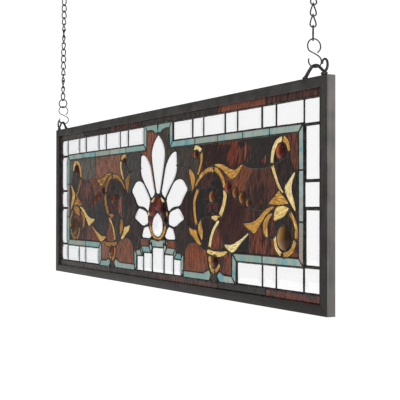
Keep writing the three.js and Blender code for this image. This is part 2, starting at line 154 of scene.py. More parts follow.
# Drawn steel wire, blackened: dark grey with brownish clouds and a dull shine.
def blackenedWire():
    look = {"dark": "#373533", "light": "#5c5855", "roughness": (0.35, 0.6), "metallic": 0.8, "clouds": 4}
    material = newMaterial("blackenedWire")
    place = addNode(material, "ShaderNodeTexCoord").outputs["Object"]
    clouds = addNode(material, "ShaderNodeTexNoise", {"Scale": 1 / (look["clouds"] * mm), "Detail": 5.0},
                     {"Vector": place})
    share = addNode(material, "ShaderNodeValToRGB", {"stops": greyStops(0.4, 0.7)},
                    {"Fac": clouds.outputs["Fac"]})
    colour = addNode(material, "ShaderNodeMix", {
        "data_type": "RGBA", 6: linearColour(look["dark"]), 7: linearColour(look["light"]),
    }, {0: share.outputs["Color"]})
    rough = addNode(material, "ShaderNodeMapRange", {
        "To Min": look["roughness"][0], "To Max": look["roughness"][1],
    }, {"Value": clouds.outputs["Fac"]})
    bump = addNode(material, "ShaderNodeBump", {"Strength": 0.2, "Distance": 0.1 * mm},
                   {"Height": clouds.outputs["Fac"]})
    return finishMaterial(material, {"Metallic": look["metallic"]}, {
        "Base Color": colour.outputs[2], "Roughness": rough.outputs[0], "Normal": bump.outputs[0],
    })


# Machine-rolled opalescent glass: two colours run through the sheet in streaks that were
# pulled out along one direction, under a smooth, glossy skin.
def rolledGlass(name, look):
    material = newMaterial(name)
    run = addNode(material, "ShaderNodeUVMap", {"uv_map": "run"}).outputs["UV"]
    drawn = addNode(material, "ShaderNodeMapping", {
        "Scale": (1 / (look["streak"][0] * mm), 1 / (look["streak"][1] * mm), 1),
    }, {"Vector": run})
    streaks = addNode(material, "ShaderNodeTexNoise",
                      {"Scale": 1.0, "Detail": 3.0, "Roughness": 0.55, "Distortion": look["curl"]},
                      {"Vector": drawn.outputs["Vector"]})
    share = addNode(material, "ShaderNodeAttribute", {"attribute_name": "wispShare"})
    level = addNode(material, "ShaderNodeMath", {"operation": "ADD"},
                    {0: streaks.outputs["Fac"], 1: share.outputs["Fac"]})
    softness = look["softness"] / 2
    amount = addNode(material, "ShaderNodeValToRGB", {"stops": greyStops(1 - softness, 1 + softness)},
                     {"Fac": level.outputs[0]})
    sheet = addNode(material, "ShaderNodeAttribute", {"attribute_name": "sheetColour"})
    wisp = addNode(material, "ShaderNodeAttribute", {"attribute_name": "wispColour"})
    streaked = addNode(material, "ShaderNodeMix", {"data_type": "RGBA"}, {
        0: amount.outputs["Color"], 6: sheet.outputs["Color"], 7: wisp.outputs["Color"],
    })
    fine = addNode(material, "ShaderNodeMapping", {
        "Scale": (1 / (look["fleck"][0] * mm), 1 / (look["fleck"][1] * mm), 1),
    }, {"Vector": run})
    flecks = addNode(material, "ShaderNodeTexNoise", {"Scale": 1.0, "Detail": 2.0, "Roughness": 0.6},
                     {"Vector": fine.outputs["Vector"]})
    shade = addNode(material, "ShaderNodeValToRGB", {"stops": greyStops(0.36, 0.62, look["fleckDark"])},
                    {"Fac": flecks.outputs["Fac"]})
    colour = addNode(material, "ShaderNodeMix", {"data_type": "RGBA", "blend_type": "MULTIPLY", 0: 1.0},
                     {6: streaked.outputs[2], 7: shade.outputs["Color"]})
    place = addNode(material, "ShaderNodeTexCoord").outputs["Object"]
    ripple = addNode(material, "ShaderNodeTexNoise", {"Scale": 1 / (look["ripple"] * mm), "Detail": 2.0},
                     {"Vector": place})
    bump = addNode(material, "ShaderNodeBump", {"Strength": look["rippleStrength"], "Distance": 0.5 * mm},
                   {"Height": ripple.outputs["Fac"]})
    return finishMaterial(material, {"Roughness": look["roughness"], "IOR": look["ior"]},
                          {"Base Color": colour.outputs[2], "Normal": bump.outputs[0]})


# Plate glass with ground and polished bevels: clear and colourless on the flat, with a faint
# waviness from polishing. Its tint comes from sheetColour, which holds painted shade on the bevels.
def polishedPlate():
    look = {"waves": 26, "roughness": 0.03, "ior": 1.52}
    material = newMaterial("polishedPlateGlass")
    tint = addNode(material, "ShaderNodeAttribute", {"attribute_name": "sheetColour"})
    place = addNode(material, "ShaderNodeTexCoord").outputs["Object"]
    waves = addNode(material, "ShaderNodeTexNoise", {"Scale": 1 / (look["waves"] * mm), "Detail": 1.0},
                    {"Vector": place})
    bump = addNode(material, "ShaderNodeBump", {"Strength": 0.08, "Distance": 0.5 * mm},
                   {"Height": waves.outputs["Fac"]})
    return finishMaterial(material, {
        "Roughness": look["roughness"], "IOR": look["ior"], "Transmission Weight": 1.0,
    }, {"Base Color": tint.outputs["Color"], "Normal": bump.outputs[0]})


# Kiln-cast opal glass: milky white, soft inside and glossy outside.
def milkyOpal():
    look = {"milk": "#ffffff", "haze": "#eef0f6", "clouds": 14, "roughness": 0.12, "ior": 1.5, "clear": 0.3}
    material = newMaterial("milkyOpalGlass")
    place = addNode(material, "ShaderNodeTexCoord").outputs["Object"]
    clouds = addNode(material, "ShaderNodeTexNoise", {"Scale": 1 / (look["clouds"] * mm), "Detail": 3.0},
                     {"Vector": place})
    share = addNode(material, "ShaderNodeValToRGB", {"stops": greyStops(0.45, 0.7)},
                    {"Fac": clouds.outputs["Fac"]})
    colour = addNode(material, "ShaderNodeMix", {
        "data_type": "RGBA", 6: linearColour(look["milk"]), 7: linearColour(look["haze"]),
    }, {0: share.outputs["Color"]})
    return finishMaterial(material, {
        "Roughness": look["roughness"], "IOR": look["ior"], "Transmission Weight": look["clear"],
    }, {"Base Color": colour.outputs[2]})


# Pressed jewel glass: deep amber, red or wine, clouded by the press. Its colour comes from
# sheetColour, which carries a painted highlight on one side and painted shade on the other.
def pressedJewel():
    look = {"clouds": 7, "clouded": 0.72, "roughness": 0.2, "ior": 1.52, "specular": 0.15}
    material = newMaterial("pressedJewelGlass")
    tint = addNode(material, "ShaderNodeAttribute", {"attribute_name": "sheetColour"})
    place = addNode(material, "ShaderNodeTexCoord").outputs["Object"]
    clouds = addNode(material, "ShaderNodeTexNoise", {"Scale": 1 / (look["clouds"] * mm), "Detail": 2.0},
                     {"Vector": place})
    shade = addNode(material, "ShaderNodeValToRGB", {"stops": greyStops(0.35, 0.65, look["clouded"])},
                    {"Fac": clouds.outputs["Fac"]})
    colour = addNode(material, "ShaderNodeMix", {"data_type": "RGBA", "blend_type": "MULTIPLY", 0: 1.0},
                     {6: tint.outputs["Color"], 7: shade.outputs["Color"]})
    return finishMaterial(material, {
        "Roughness": look["roughness"], "IOR": look["ior"], "Specular IOR Level": look["specular"],
    }, {"Base Color": colour.outputs[2]})


# Streaks, flecks and ripples of each sheet, in millimetres: length and width where there are two.
fieldLook = {"streak": (30, 5), "softness": 0.22, "curl": 0.7,
             "fleck": (14, 2.4), "fleckDark": 0.3,
             "ripple": 4, "rippleStrength": 0.2, "roughness": 0.2, "ior": 1.5}
borderLook = {"streak": (40, 15), "softness": 0.4, "curl": 0.4,
              "fleck": (12, 4), "fleckDark": 0.88,
              "ripple": 8, "rippleStrength": 0.08, "roughness": 0.15, "ior": 1.5}
amberLook = {"streak": (18, 2), "softness": 0.22, "curl": 0.2,
             "fleck": (9, 1.2), "fleckDark": 0.36,
             "ripple": 5, "rippleStrength": 0.12, "roughness": 0.18, "ior": 1.5}
solder = blackenedSolder()
zinc = patinatedZinc()
wireSteel = blackenedWire()
mahoganyGlass = rolledGlass("rolledMahoganyGlass", fieldLook)
tealGlass = rolledGlass("rolledTealGlass", borderLook)
amberGlass = rolledGlass("rolledAmberGlass", amberLook)
plateGlass = polishedPlate()
dropGlass = milkyOpal()
jewelGlass = pressedJewel()
print("materials ready")


# Outlines lie in the plane of the panel: millimetres from its centre, x right and z up.
def curveThrough(knots, steps):
    points = []
    last = len(knots) - 1
    for i in range(steps + 1):
        place = last * i / steps
        start = min(int(place), last - 1)
        t = place - start
        p = [Vector(knots[max(0, min(last, start + j))]) for j in (-1, 0, 1, 2)]
        v0 = (p[2] - p[0]) / 2
        v1 = (p[3] - p[1]) / 2
        a = 2 * p[1] - 2 * p[2] + v0 + v1
        b = 3 * p[2] - 3 * p[1] - 2 * v0 - v1
        points.append(a * t ** 3 + b * t ** 2 + v0 * t + p[1])
    return points


def area(outline):
    return sum(a.x * b.y - b.x * a.y for a, b in zip(outline, outline[1:] + outline[:1])) / 2


def facing(outline):
    points = [Vector(p) for p in outline]
    return points if area(points) > 0 else points[::-1]


def mirrored(outline):
    return [Vector((-p.x, p.y)) for p in reversed(outline)]


def bothHalves(outlines):
    return outlines + [mirrored(o) for o in outlines]


def block(left, right, low, high):
    return facing([(left, low), (right, low), (right, high), (left, high)])


def disc(x, z, radius, sides=24):
    turn = math.tau / sides
    return [Vector((x + radius * math.cos(i * turn), z + radius * math.sin(i * turn))) for i in range(sides)]


def leaf(over, under, steps=14):
    back = curveThrough([over[0], *under, over[-1]], steps)[1:-1]
    return facing([*curveThrough(over, steps), *reversed(back)])


def petal(over, under, steps=16):
    return facing([*curveThrough(over, steps), *reversed(curveThrough(under, steps)[:-1])])


def ribbon(line, startWidth, endWidth, steps=12):
    points = curveThrough(line, steps)
    left = []
    right = []
    for i, p in enumerate(points):
        tangent = (points[min(i + 1, steps)] - points[max(i - 1, 0)]).normalized()
        across = Vector((-tangent.y, tangent.x)) * (startWidth + (endWidth - startWidth) * i / steps) / 2
        left.append(p + across)
        right.append(p - across)
    return facing([*left, *reversed(right)])


def balanced(rightEdge, steps):
    right = curveThrough(rightEdge, steps)
    left = [Vector((-p.x, p.y)) for p in right if p.x > 0.01]
    return facing([*right, *reversed(left)])


def grown(outline, distance):
    moved = []
    for i, p in enumerate(outline):
        before = (p - outline[i - 1]).normalized()
        after = (outline[(i + 1) % len(outline)] - p).normalized()
        out = Vector((before.y + after.y, -before.x - after.x))
        half = max(out.length / 2, 0.55)
        moved.append(p + out.normalized() * distance / half)
    return moved


def roundedCorner(before, p, after, radius, steps=4):
    start = p + (before - p).normalized() * radius
    end = p + (after - p).normalized() * radius
    shares = [step / steps for step in range(steps + 1)]
    return [start * (1 - t) ** 2 + p * 2 * t * (1 - t) + end * t ** 2 for t in shares]


def rounded(outline, radius):
    points = []
    for i, p in enumerate(outline):
        points += roundedCorner(outline[i - 1], p, outline[(i + 1) % len(outline)], radius)
    return points


def inside(point, outline):
    hit = False
    for a, b in zip(outline, outline[1:] + outline[:1]):
        if (a.y > point.y) != (b.y > point.y):
            if point.x < (b.x - a.x) * (point.y - a.y) / (b.y - a.y) + a.x:
                hit = not hit
    return hit


def nearest(point, outline):
    found = 1e9
    for a, b in zip(outline, outline[1:] + outline[:1]):
        side = b - a
        t = max(0, min(1, (point - a).dot(side) / side.length_squared))
        found = min(found, (point - a - side * t).length)
    return found


def atDepth(point, depth):
    return Vector((point.x * mm, depth * mm, panelZ + point.y * mm))


# Meshes.
class Shape:
    def __init__(self):
        self.points = []
        self.faces = []
        self.maps = []  # one (u, v) for each corner of each face
        self.colours = []  # sheet colour, wisp colour and wisp share for each point

    def add(self, points, faces, maps=None, colours=None):
        start = len(self.points)
        self.points += points
        self.faces += [[start + i for i in face] for face in faces]
        self.maps += maps or [[(points[i].x, points[i].z) for i in face] for face in faces]
        self.colours += colours or []


def addPiece(name, shape, material, replaced=(), smoothAngle=40):
    mesh = bpy.data.meshes.new(name)
    mesh.from_pydata(shape.points, [], shape.faces)
    layer = mesh.uv_layers.new(name="length" if material is zinc else "run")
    layer.data.foreach_set("uv", [c for face in shape.maps for corner in face for c in corner])
    if shape.colours:
        for title, part in (("sheetColour", 0), ("wispColour", 1)):
            attribute = mesh.color_attributes.new(title, "FLOAT_COLOR", "POINT")
            attribute.data.foreach_set("color", [c for row in shape.colours for c in row[part]])
        attribute = mesh.attributes.new("wispShare", "FLOAT", "POINT")
        attribute.data.foreach_set("value", [row[2] for row in shape.colours])
    mesh.materials.append(material)
    mesh.shade_smooth()
    mesh.set_sharp_from_angle(angle=math.radians(smoothAngle))
    piece = bpy.data.objects.new(name, mesh)
    bpy.context.scene.collection.objects.link(piece)
    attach(piece, "root")
    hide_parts(*replaced)


def band(here, there, sides):
    return [[here + k, here + (k + 1) % sides, there + (k + 1) % sides, there + k] for k in range(sides)]


def tube(rings, sides, closed=False):
    faces = []
    for i in range(rings if closed else rings - 1):
        faces += band(i * sides, (i + 1) % rings * sides, sides)
    if not closed:
        faces += [list(reversed(range(sides))), list(range((rings - 1) * sides, rings * sides))]
    return faces


# Back and front of each kind of sheet, and how far its edge lies under the solder.
sheetLook = {
    "field": {"back": 1.3, "front": -1.35},
    "border": {"back": 1.3, "front": -1.35, "under": 1.3},
    "edge": {"back": 1.3, "front": -1.35, "under": 0},
    "arch": {"back": 1.3, "front": -1.4, "under": 1.3},
    "amber": {"back": 1.35, "front": -1.4, "under": 0.9},
}


# Each piece comes from another part of the sheet, and its streaks run at an angle.
def streakMaps(faces, outline, apart, angle):
    turn = Matrix.Rotation(-math.radians(angle), 2)
    spot = outline[0] * apart
    maps = []
    for face in faces:
        turned = [turn @ (outline[i % len(outline)] + spot) * mm for i in face]
        maps.append([(p.x, p.y) for p in turned])
    return maps


# A flat piece of cut glass, closed.
def addSheet(shape, outline, kind, tint, angle):
    look = sheetLook[kind]
    made = grown(outline, look["under"])
    count = len(made)
    points = [atDepth(p, look["front"]) for p in made] + [atDepth(p, look["back"]) for p in made]
    faces = [list(range(count)), [*reversed(range(count, 2 * count))]]
    faces += [[i, i + count, (i + 1) % count + count, (i + 1) % count] for i in range(count)]
    shape.add(points, faces, streakMaps(faces, made, 0.37, angle), [tint] * len(points))


# A run of solder through the sheet, round on both sides, thicker and thinner as it flowed.
# "lump" and "swell" say how much its width and its depth vary, and how quickly.
beadLook = {"half": 1.8, "depth": 1.75, "flatHalf": 2.0, "flatDepth": 0.4, "petalDepth": 0.7,
            "blossomHalf": 1.0, "jointHalf": 1.5, "sides": 8, "step": 4.6, "least": 1.7,
            "lump": (0.16, 0.11), "swell": (0.04, 0.2),
            "capReach": (1.0, 0.8, 0.4), "caps": (0.05, 0.6, 0.92)}


def evenSteps(line, closed):
    ends = [line[0]]
    for p in line[1:-1]:
        if (p - ends[-1]).length > beadLook["least"]:
            ends.append(p)
    ends += line[-1:] + (line[:1] if closed else [])
    points = []
    for a, b in zip(ends, ends[1:]):
        pieces = max(1, round((b - a).length / beadLook["step"]))
        points += [a.lerp(b, i / pieces) for i in range(pieces)]
    return points


def addBead(shape, line, closed=False, half=beadLook["half"], depth=beadLook["depth"]):
    points = evenSteps(line, closed)
    scales = [1.0] * len(points)
    if not closed:
        points.append(line[-1])
        scales.append(1.0)
        first = (points[0] - points[1]).normalized()
        last = (points[-1] - points[-2]).normalized()
        reach = beadLook["capReach"]
        points = [points[0] + first * half * s for s in reach] + points
        points += [points[-1] + last * half * s for s in reversed(reach)]
        scales = [*beadLook["caps"], *scales, *reversed(beadLook["caps"])]
    count = len(points)
    sides = beadLook["sides"]
    lump, lumpRate = beadLook["lump"]
    swell, swellRate = beadLook["swell"]
    rings = []
    for i, p in enumerate(points):
        before = points[i - 1] if closed or i else p
        after = points[(i + 1) % count] if closed or i < count - 1 else p
        tangent = (after - before).normalized()
        across = Vector((-tangent.y, tangent.x))
        wide = half * scales[i] * (1 + lump * noise.noise((p.x * lumpRate, p.y * lumpRate, 0.3)))
        deep = depth * (0.25 + 0.75 * scales[i])
        deep *= 1 + swell * noise.noise((p.x * swellRate, 0.7, p.y * swellRate))
        for k in range(sides):
            turn = math.tau * k / sides
            rings.append(atDepth(p + across * wide * math.cos(turn), -deep * math.sin(turn)))
    shape.add(rings, tube(count, sides, closed))


# Solder follows an outline and starts afresh at each of its sharp corners.
def addSeam(shape, outline, half=beadLook["half"], depth=beadLook["depth"], sharp=38):
    count = len(outline)
    corners = []
    for i, p in enumerate(outline):
        turn = (p - outline[i - 1]).angle(outline[(i + 1) % count] - p, 0)
        if turn > math.radians(sharp):
            corners.append(i)
    if not corners:
        addBead(shape, outline, True, half, depth)
        return
    for start, end in zip(corners, corners[1:] + [corners[0] + count]):
        addBead(shape, [outline[i % count] for i in range(start, end + 1)], False, half, depth)


# Bevelled plate: the front edge is ground down in a band all round. "under" is how far
# its edge lies under the solder.
plateLook = {"back": 0.25, "front": -0.6, "bevel": 8, "petalBevel": 4.4, "ground": 0.35, "corner": 1.6,
             "innerCorner": 0.6, "under": 0.7, "flat": "#f4f4f4", "paintedBevelShade": "#9fb3be"}


# How far in a bevel reaches from a point of the edge: it stops where those of two sides meet.
def reachIn(outline, i, most):
    p = outline[i]
    before = (p - outline[i - 1]).normalized()
    after = (outline[(i + 1) % len(outline)] - p).normalized()
    way = -Vector((before.y + after.y, -before.x - after.x)).normalized()
    low = 0.0
    high = most
    reach = most
    for step in range(7):  # the full reach first, then halves
        spot = p + way * reach
        if nearest(spot, outline) > reach * 0.93 - 0.05 and inside(spot, outline):
            low = reach
            if not step:
                break
        else:
            high = reach
        reach = (low + high) / 2
    return p + way * low, low / most


def addPlate(name, outline, replaced, inner):
    low = plateLook["front"] + plateLook["ground"]
    count = len(outline)
    flat = linearColour(plateLook["flat"])
    deep = linearColour(plateLook["paintedBevelShade"])
    paintedShadeRim = []
    # Painted shade on the bevels: greyer blue where the edge faces right, and more towards the left of the
    # panel.
    for i in range(count):  # darker on edges that face right, and towards the left of the panel
        side = (outline[(i + 1) % count] - outline[i - 1]).normalized()
        share = (0.2 + 0.8 * max(0, side.y)) * (0.55 - 0.45 * outline[i].x / blockRows["edge"])
        tint = [a + (b - a) * share for a, b in zip(flat, deep)]
        paintedShadeRim.append((tint, tint, 0))
    points = [atDepth(p, plateLook["back"]) for p in outline] + [atDepth(p, low) for p in outline]
    for part in (0.75, 1):  # the tint holds over most of the bevel
        points += [atDepth(a.lerp(p, part), low - plateLook["ground"] * share * part)
                   for a, (p, share) in zip(outline, inner)]
    faces = [list(reversed(range(count))), list(range(3 * count, 4 * count))]
    for ring in (0, count, 2 * count):
        for i in range(count):
            after = (i + 1) % count + ring
            faces.append([i + ring + count, i + ring, after, after + count])
    shape = Shape()
    shape.add(points, faces, None, [(flat, flat, 0)] * count + paintedShadeRim * 2 + [(flat, flat, 0)] * count)
    addPiece(name, shape, plateGlass, [replaced], 8)


def addBlock(name, outline):
    made = grown(outline, plateLook["under"])
    inner = [(p, 1) for p in rounded(grown(made, -plateLook["bevel"]), plateLook["innerCorner"])]
    plateOutlines.append(outline)
    addPlate("plate_" + name, rounded(made, plateLook["corner"]), name, inner)


plateOutlines = []
halves = ((1, "right"), (-1, "left"))
blockRows = {"edge": 435, "square": 30, "upright": 27, "double": 58, "pitch": 96, "seam": 3.5,
             "top": 117.5, "low": -115.5}
for side, name in halves:
    sided = facing if side > 0 else mirrored
    edge = blockRows["edge"]
    column = edge - blockRows["upright"]
    corner = edge - blockRows["square"]
    inner = corner - blockRows["seam"]
    top = blockRows["top"]
    low = blockRows["low"]
    blocks = {
        "corner_block_top_": (corner, edge, 87.5, top),
        "corner_block_low_": (corner, edge, low, -86.5),
        "side_double_top_": (column, edge, 20, 84),
        "side_square_": (column - 2.5, edge, -13, 16.5),
        "side_double_low_": (column, edge, -83, -17),
        "low_double_1_": (inner - blockRows["double"], inner - 1, low, -87.5),
        "low_square_": (311, 340, low, -87.5),
        "low_double_2_": (247, 307, low, -87.5),
    }
    for title, corners in blocks.items():
        addBlock(title + name, sided(block(*corners)))
    for i in range(4):
        right = inner - i * blockRows["pitch"]
        addBlock(f"top_double_{name}_{i + 1}", sided(block(right - blockRows["double"], right, 89, top)))
    for i in range(3):
        right = inner - blockRows["double"] - 3.8 - i * blockRows["pitch"]
        addBlock(f"top_square_{name}_{i + 1}", sided(block(right - 29.5, right, 89, top)))
    for i, corners in enumerate(((23.5, 52, -116.5, -87), (56, 78, -116, -93))):
        addBlock(f"pillar_{name}_{i + 1}", sided(block(*corners)))
addBlock("pillar_centre", block(-19, 19, -116, -77.5))

# The palmette: one upright petal, then four on each side from the top down.
centrePetal = [[0, 100], [13.7, 90], [22, 78], [23.6, 68], [20, 52], [11.5, 25], [5.3, 7.8]]
sidePetals = [
    [
        [[11.7, 8.9], [22.2, 36.7], [27.5, 50], [37, 61], [49, 69], [63.3, 71.7]],
        [[24.4, 0.6], [38, 14.5], [58, 32.5], [65, 47], [63.3, 71.7]],
    ],
    [
        [[28.9, -1.1], [42, 12], [56, 24.5], [71, 28.7], [86, 26], [100.6, 13.3]],
        [[36.7, -20], [50, -15.5], [64, -12.8], [77, -9.5], [87, 1], [100.6, 13.3]],
    ],
    [
        [[38.9, -23.3], [48, -18.5], [60, -15.8], [74, -17], [89.4, -31.1]],
        [[37, -40], [50, -43], [62, -42], [76, -36], [89.4, -31.1]],
    ],
    [
        [[23.3, -57.2], [31, -47.5], [40, -44.7], [52, -47.5], [60.6, -61.7]],
        [[27.8, -61.1], [40, -64.2], [60.6, -61.7]],
    ],
]
petals = {"petal_top": balanced(centrePetal, 24)}
for i, edges in enumerate(sidePetals):
    petals[f"petal_right_{i + 1}"] = petal(*edges)
    petals[f"petal_left_{i + 1}"] = mirrored(petal(*edges))
for name, outline in petals.items():
    made = grown(outline, plateLook["under"])
    inner = [reachIn(made, i, plateLook["petalBevel"]) for i in range(len(made))]
    addPlate("plate_" + name, made, name, inner)
print("clear plates made:", len(plateOutlines) + len(petals))

# One scroll in amber glass. A leaf has two edges, the second without its ends. A ribbon has
# the line of its middle and its width at the start and at the end.
leaves = [
    [
        [[182.8, 45.9], [205, 45], [229, 37.2], [244, 36.8], [259.4, 43.3]],
        [[200, 42], [216, 33.8], [230, 25.8], [246, 31.2]],
    ],
    [
        [[162.8, -77.2], [167, -74], [180, -76.2], [205, -76.3], [220, -74.7]],
        [[172, -79.4], [190, -81.7], [207, -80]],
    ],
    [
        [[211.7, -65.6], [229, -66], [246, -61], [262, -55], [276.7, -47.8]],
        [[230, -74], [241, -71], [258, -59]],
    ],
    [
        [[263.3, -35.6], [282, -35], [300, -29], [320, -16.7], [338, -13]],
        [[281, -43.3], [292, -46.5], [305, -34], [326, -18.6]],
    ],
    [
        [[334, -21.7], [321, -25], [313.5, -34], [314, -46], [322.8, -51.7]],
        [[326, -28], [321.5, -37], [322, -45]],
    ],
    [[[327.2, -8.3], [340, -0.5], [349.4, 5.6], [358, 0], [368.9, -8.3]], [[348, -9.5]]],
    [
        [[338.3, -30], [341, -17.8], [350, -12.8], [361, -13], [371, -15.6]],
        [[349, -27], [359, -24.4]],
    ],
    [
        [[385, 29.4], [371, 17.8], [363.3, 9], [371, -3], [386, -18.3]],
        [[378, 17], [376.8, 6], [381, -4]],
    ],
    [
        [[106.7, -44], [120, -47.5], [129, -48.3], [134, -58], [144, -67.2]],
        [[113, -52], [125, -58.5], [134, -66]],
    ],
    [
        [[143.5, -32.8], [136.5, -40], [136.5, -48], [144.4, -57.8], [148, -59.4]],
        [[144, -37], [147.5, -47]],
    ],
    [
        [[107.8, 42.8], [117, 37], [124, 30], [121.5, 18], [116.5, 10]],
        [[108.5, 36], [113, 27], [115.5, 19]],
    ],
    [[[175, -27.5], [187, -26.2], [198, -27]], [[187, -31.5]]],
    [[[11, 1], [17, -0.8], [23, -4.5]], [[16.5, -4]]],
    [[[31.5, -21], [34.5, -23], [34, -26.5]], [[31, -24.5]]],
]
ribbons = [
    [[[179, 40], [165, 39.5], [150, 35], [138, 28], [127.5, 18]], 5, 2],
    [[[184.4, 40.6], [198, 34.4], [207, 25], [212.5, 14]], 4.5, 5],
    [[[213, 9], [213.3, 0], [209, -12], [200.6, -24]], 6.5, 6],
    [[[196, -32], [182, -44.4], [174, -57], [170, -69]], 3, 5],
    [[[133.9, 11.7], [125, -1], [123.5, -12], [125, -24], [129.4, -37]], 4.5, 4.5],
    [[[170.5, -84], [170.5, -91], [174, -99], [182, -104]], 5, 4.5],
    [[[198, -94.4], [193, -99], [187, -102.5]], 3.5, 4],
    [[[334.5, 38], [342, 24], [350, 12], [358.3, 4.4]], 4, 1.5],
    [[[355.6, 71], [345, 68], [336, 58], [333, 44]], 6, 4.5],
    [[[360, 72], [368, 66.5], [372, 57]], 6, 3],
    [[[375, -21], [384, -31], [388, -41], [387.5, -51]], 3.5, 4.5],
    [[[385, -56], [379, -66], [370, -71], [360, -73]], 4.5, 4],
    [[[353, -72], [343, -64], [339.5, -52]], 4, 4.5],
    [[[123.3, 72.8], [133, 73.2], [143.3, 68.5]], 3.5, 4],
    [[[145, 64.4], [145.3, 55.6], [141.5, 45.5], [134, 34]], 5, 2],
]
crescent = [[[-28, -40], [-24, -50], [-14, -59], [0, -63], [14, -59], [24, -50], [28, -40]], 4, 4]
# The left scroll's tints and wisps are the same amber painted darker: painted shade on the left half.
amberTints = {
    "right": ["#e8bc5c", "#dca844", "#f0d080", "#d49c3c", "#ecc468"],
    "left": ["#cf9a48", "#bd8436", "#e0b45c", "#b07a30", "#d4a44e"],
}
amberWisps = {
    "right": ["#c08434", "#f8e0a0", "#b47c30", "#f4d488", "#cc9440"],
    "left": ["#9c6828", "#e8c47c", "#8c5c24", "#dcae60", "#a87430"],
}
# The left scroll has one ribbon of brown glass among the amber ones.
darkRibbon = {"index": 47, "colours": ("#2a2320", "#5a4a2c")}


def addAmber():
    shape = Shape()
    outlines = [leaf(*edges) for edges in leaves] + [ribbon(*r) for r in ribbons]
    made = bothHalves(outlines) + [ribbon(*crescent, steps=20)]
    for i, outline in enumerate(made):
        ends = max(((p, q) for p in outline for q in outline), key=lambda pair: (pair[0] - pair[1]).length)
        run = ends[1] - ends[0]  # a leaf is cut along the streaks
        # the left half takes the tints with painted shade
        half = "left" if outline[0].x < -40 else "right"
        shade = (linearColour(amberTints[half][i % 5]), linearColour(amberWisps[half][i * 3 % 5]), 0.5)
        if i == darkRibbon["index"]:
            shade = (*map(linearColour, darkRibbon["colours"]), 0.3)
        addSheet(shape, outline, "amber", shade, math.degrees(math.atan2(run.y, run.x)))
    addPiece("amber_scrolls", shape, amberGlass)
    return made


amberOutlines = addAmber()
print("amber scrolls made:", len(amberOutlines))

# Teal strips of one half: the border of the dark field and the stepped foot.
strips = [
    [[4, 118], [45.5, 118], [40.5, 111], [24.4, 111], [16.7, 109.4], [9, 105], [2, 106]],
    [[43.5, 111], [50, 117.5], [50, 88.5], [43.5, 82]],
    [[46.5, 79.5], [122.5, 79.5], [122.5, 86], [53, 86]],
    [[126.5, 79.5], [191, 79.5], [191, 86], [126.5, 86]],
    [[194.7, 79.5], [258.5, 79.5], [258.5, 86], [194.7, 86]],
    [[262.3, 79.5], [325.3, 79.5], [325.3, 86], [262.3, 86]],
    [[329, 79.5], [391.5, 79.5], [398, 86], [329, 86]],
    [[394.5, 33.3], [401.5, 33.3], [401.5, 84], [394.5, 77]],
    [[394.5, -29.5], [401.5, -29.5], [401.5, 29.5], [394.5, 29.5]],
    [[394.5, -75], [401.5, -82], [401.5, -33.5], [394.5, -33.5]],
    [[311.7, -84.5], [399, -84.5], [392, -77.3], [311.7, -77.3]],
    [[245, -84.5], [307.5, -84.5], [307.5, -77.3], [237.5, -77.3]],
    [[234, -79.5], [241.5, -87.5], [241.5, -115], [234, -107.5]],
    [[196, -104.5], [209, -109], [230, -109.4], [238, -117], [200, -117], [192.5, -109]],
    [[168, -104], [171.5, -109], [166, -117], [92, -117], [88, -109.4], [151, -109.4]],
    [[82.3, -112], [87.3, -112], [87.3, -87], [82.3, -87]],
    [[34.5, -78], [60, -78], [54, -84.5], [28.5, -84.5]],
    [[66, -84], [84, -84], [79, -90.5], [60.5, -90.5]],
    [[22, -71.5], [29, -75.5], [25.5, -83], [21.5, -77]],
    [[62, -79.5], [63.5, -84], [59, -88.5], [57, -84.5]],
]
capstone = [[-24.5, -66.7], [24.5, -66.7], [20.5, -74.5], [-20.5, -74.5]]
# Sheet and wisp of each tint, then the tints of the strips in order, right half and left half.
tealSheets = {
    "teal": ("#65969a", "#969f94"), "sea": ("#589096", "#839d98"), "sage": ("#88998b", "#769893"),
    "stone": ("#94887c", "#869a92"), "rose": ("#97857c", "#8da39f"), "grey": ("#7b8884", "#93877d"),
}
stripTints = {
    1: ["sage", "teal", "sea", "stone", "teal", "teal", "teal", "teal", "rose", "grey",
        "teal", "sage", "sea", "teal", "sage", "sage", "teal", "sea", "teal", "grey"],
    -1: ["sage", "teal", "sage", "teal", "stone", "sea", "teal", "sage", "grey", "sea",
         "stone", "sea", "teal", "sage", "teal", "sea", "sea", "teal", "sea", "grey"],
}
edgeStrip = {"low": 119.5, "high": 127, "seam": 1.8, "gap": 0.5, "under": 1.2, "inChannel": 4}
edgeJoints = {1: [-441, -318, -193, -58, 193, 318, 441], -1: [-441, -318, -193, 0, 193, 318, 441]}
edgeTints = {
    1: [("#4a4340", "#554c48", 0.4), ("#281e1b", "#362a26", 0.4), ("#20120f", "#6a3426", 0.42),
        ("#302a28", "#4a403c", 0.4), ("#3e1f18", "#8a4a36", 0.5), ("#341f1a", "#603a30", 0.45)],
    -1: [("#4c4642", "#5a534e", 0.4), ("#484240", "#58504c", 0.4), ("#2e2624", "#4c3e3a", 0.4),
         ("#31201b", "#5c3428", 0.45), ("#0d0706", "#281815", 0.4), ("#210b06", "#742612", 0.45)],
}


def addTeal():
    shape = Shape()
    sheetsOf = {title: (*map(linearColour, pair), 0.45) for title, pair in tealSheets.items()}
    for side, tints in stripTints.items():
        for corners, tint in zip(strips, tints):
            outline = facing(corners) if side > 0 else mirrored(facing(corners))
            wide = max(p.x for p in outline) - min(p.x for p in outline)
            high = max(p.y for p in outline) - min(p.y for p in outline)
            addSheet(shape, outline, "border", sheetsOf[tint], 88 if wide > high else 2)
            borderOutlines.append(outline)
    addSheet(shape, facing(capstone), "border", sheetsOf["teal"], 88)
    borderOutlines.append(facing(capstone))
    addPiece("teal_border", shape, tealGlass)


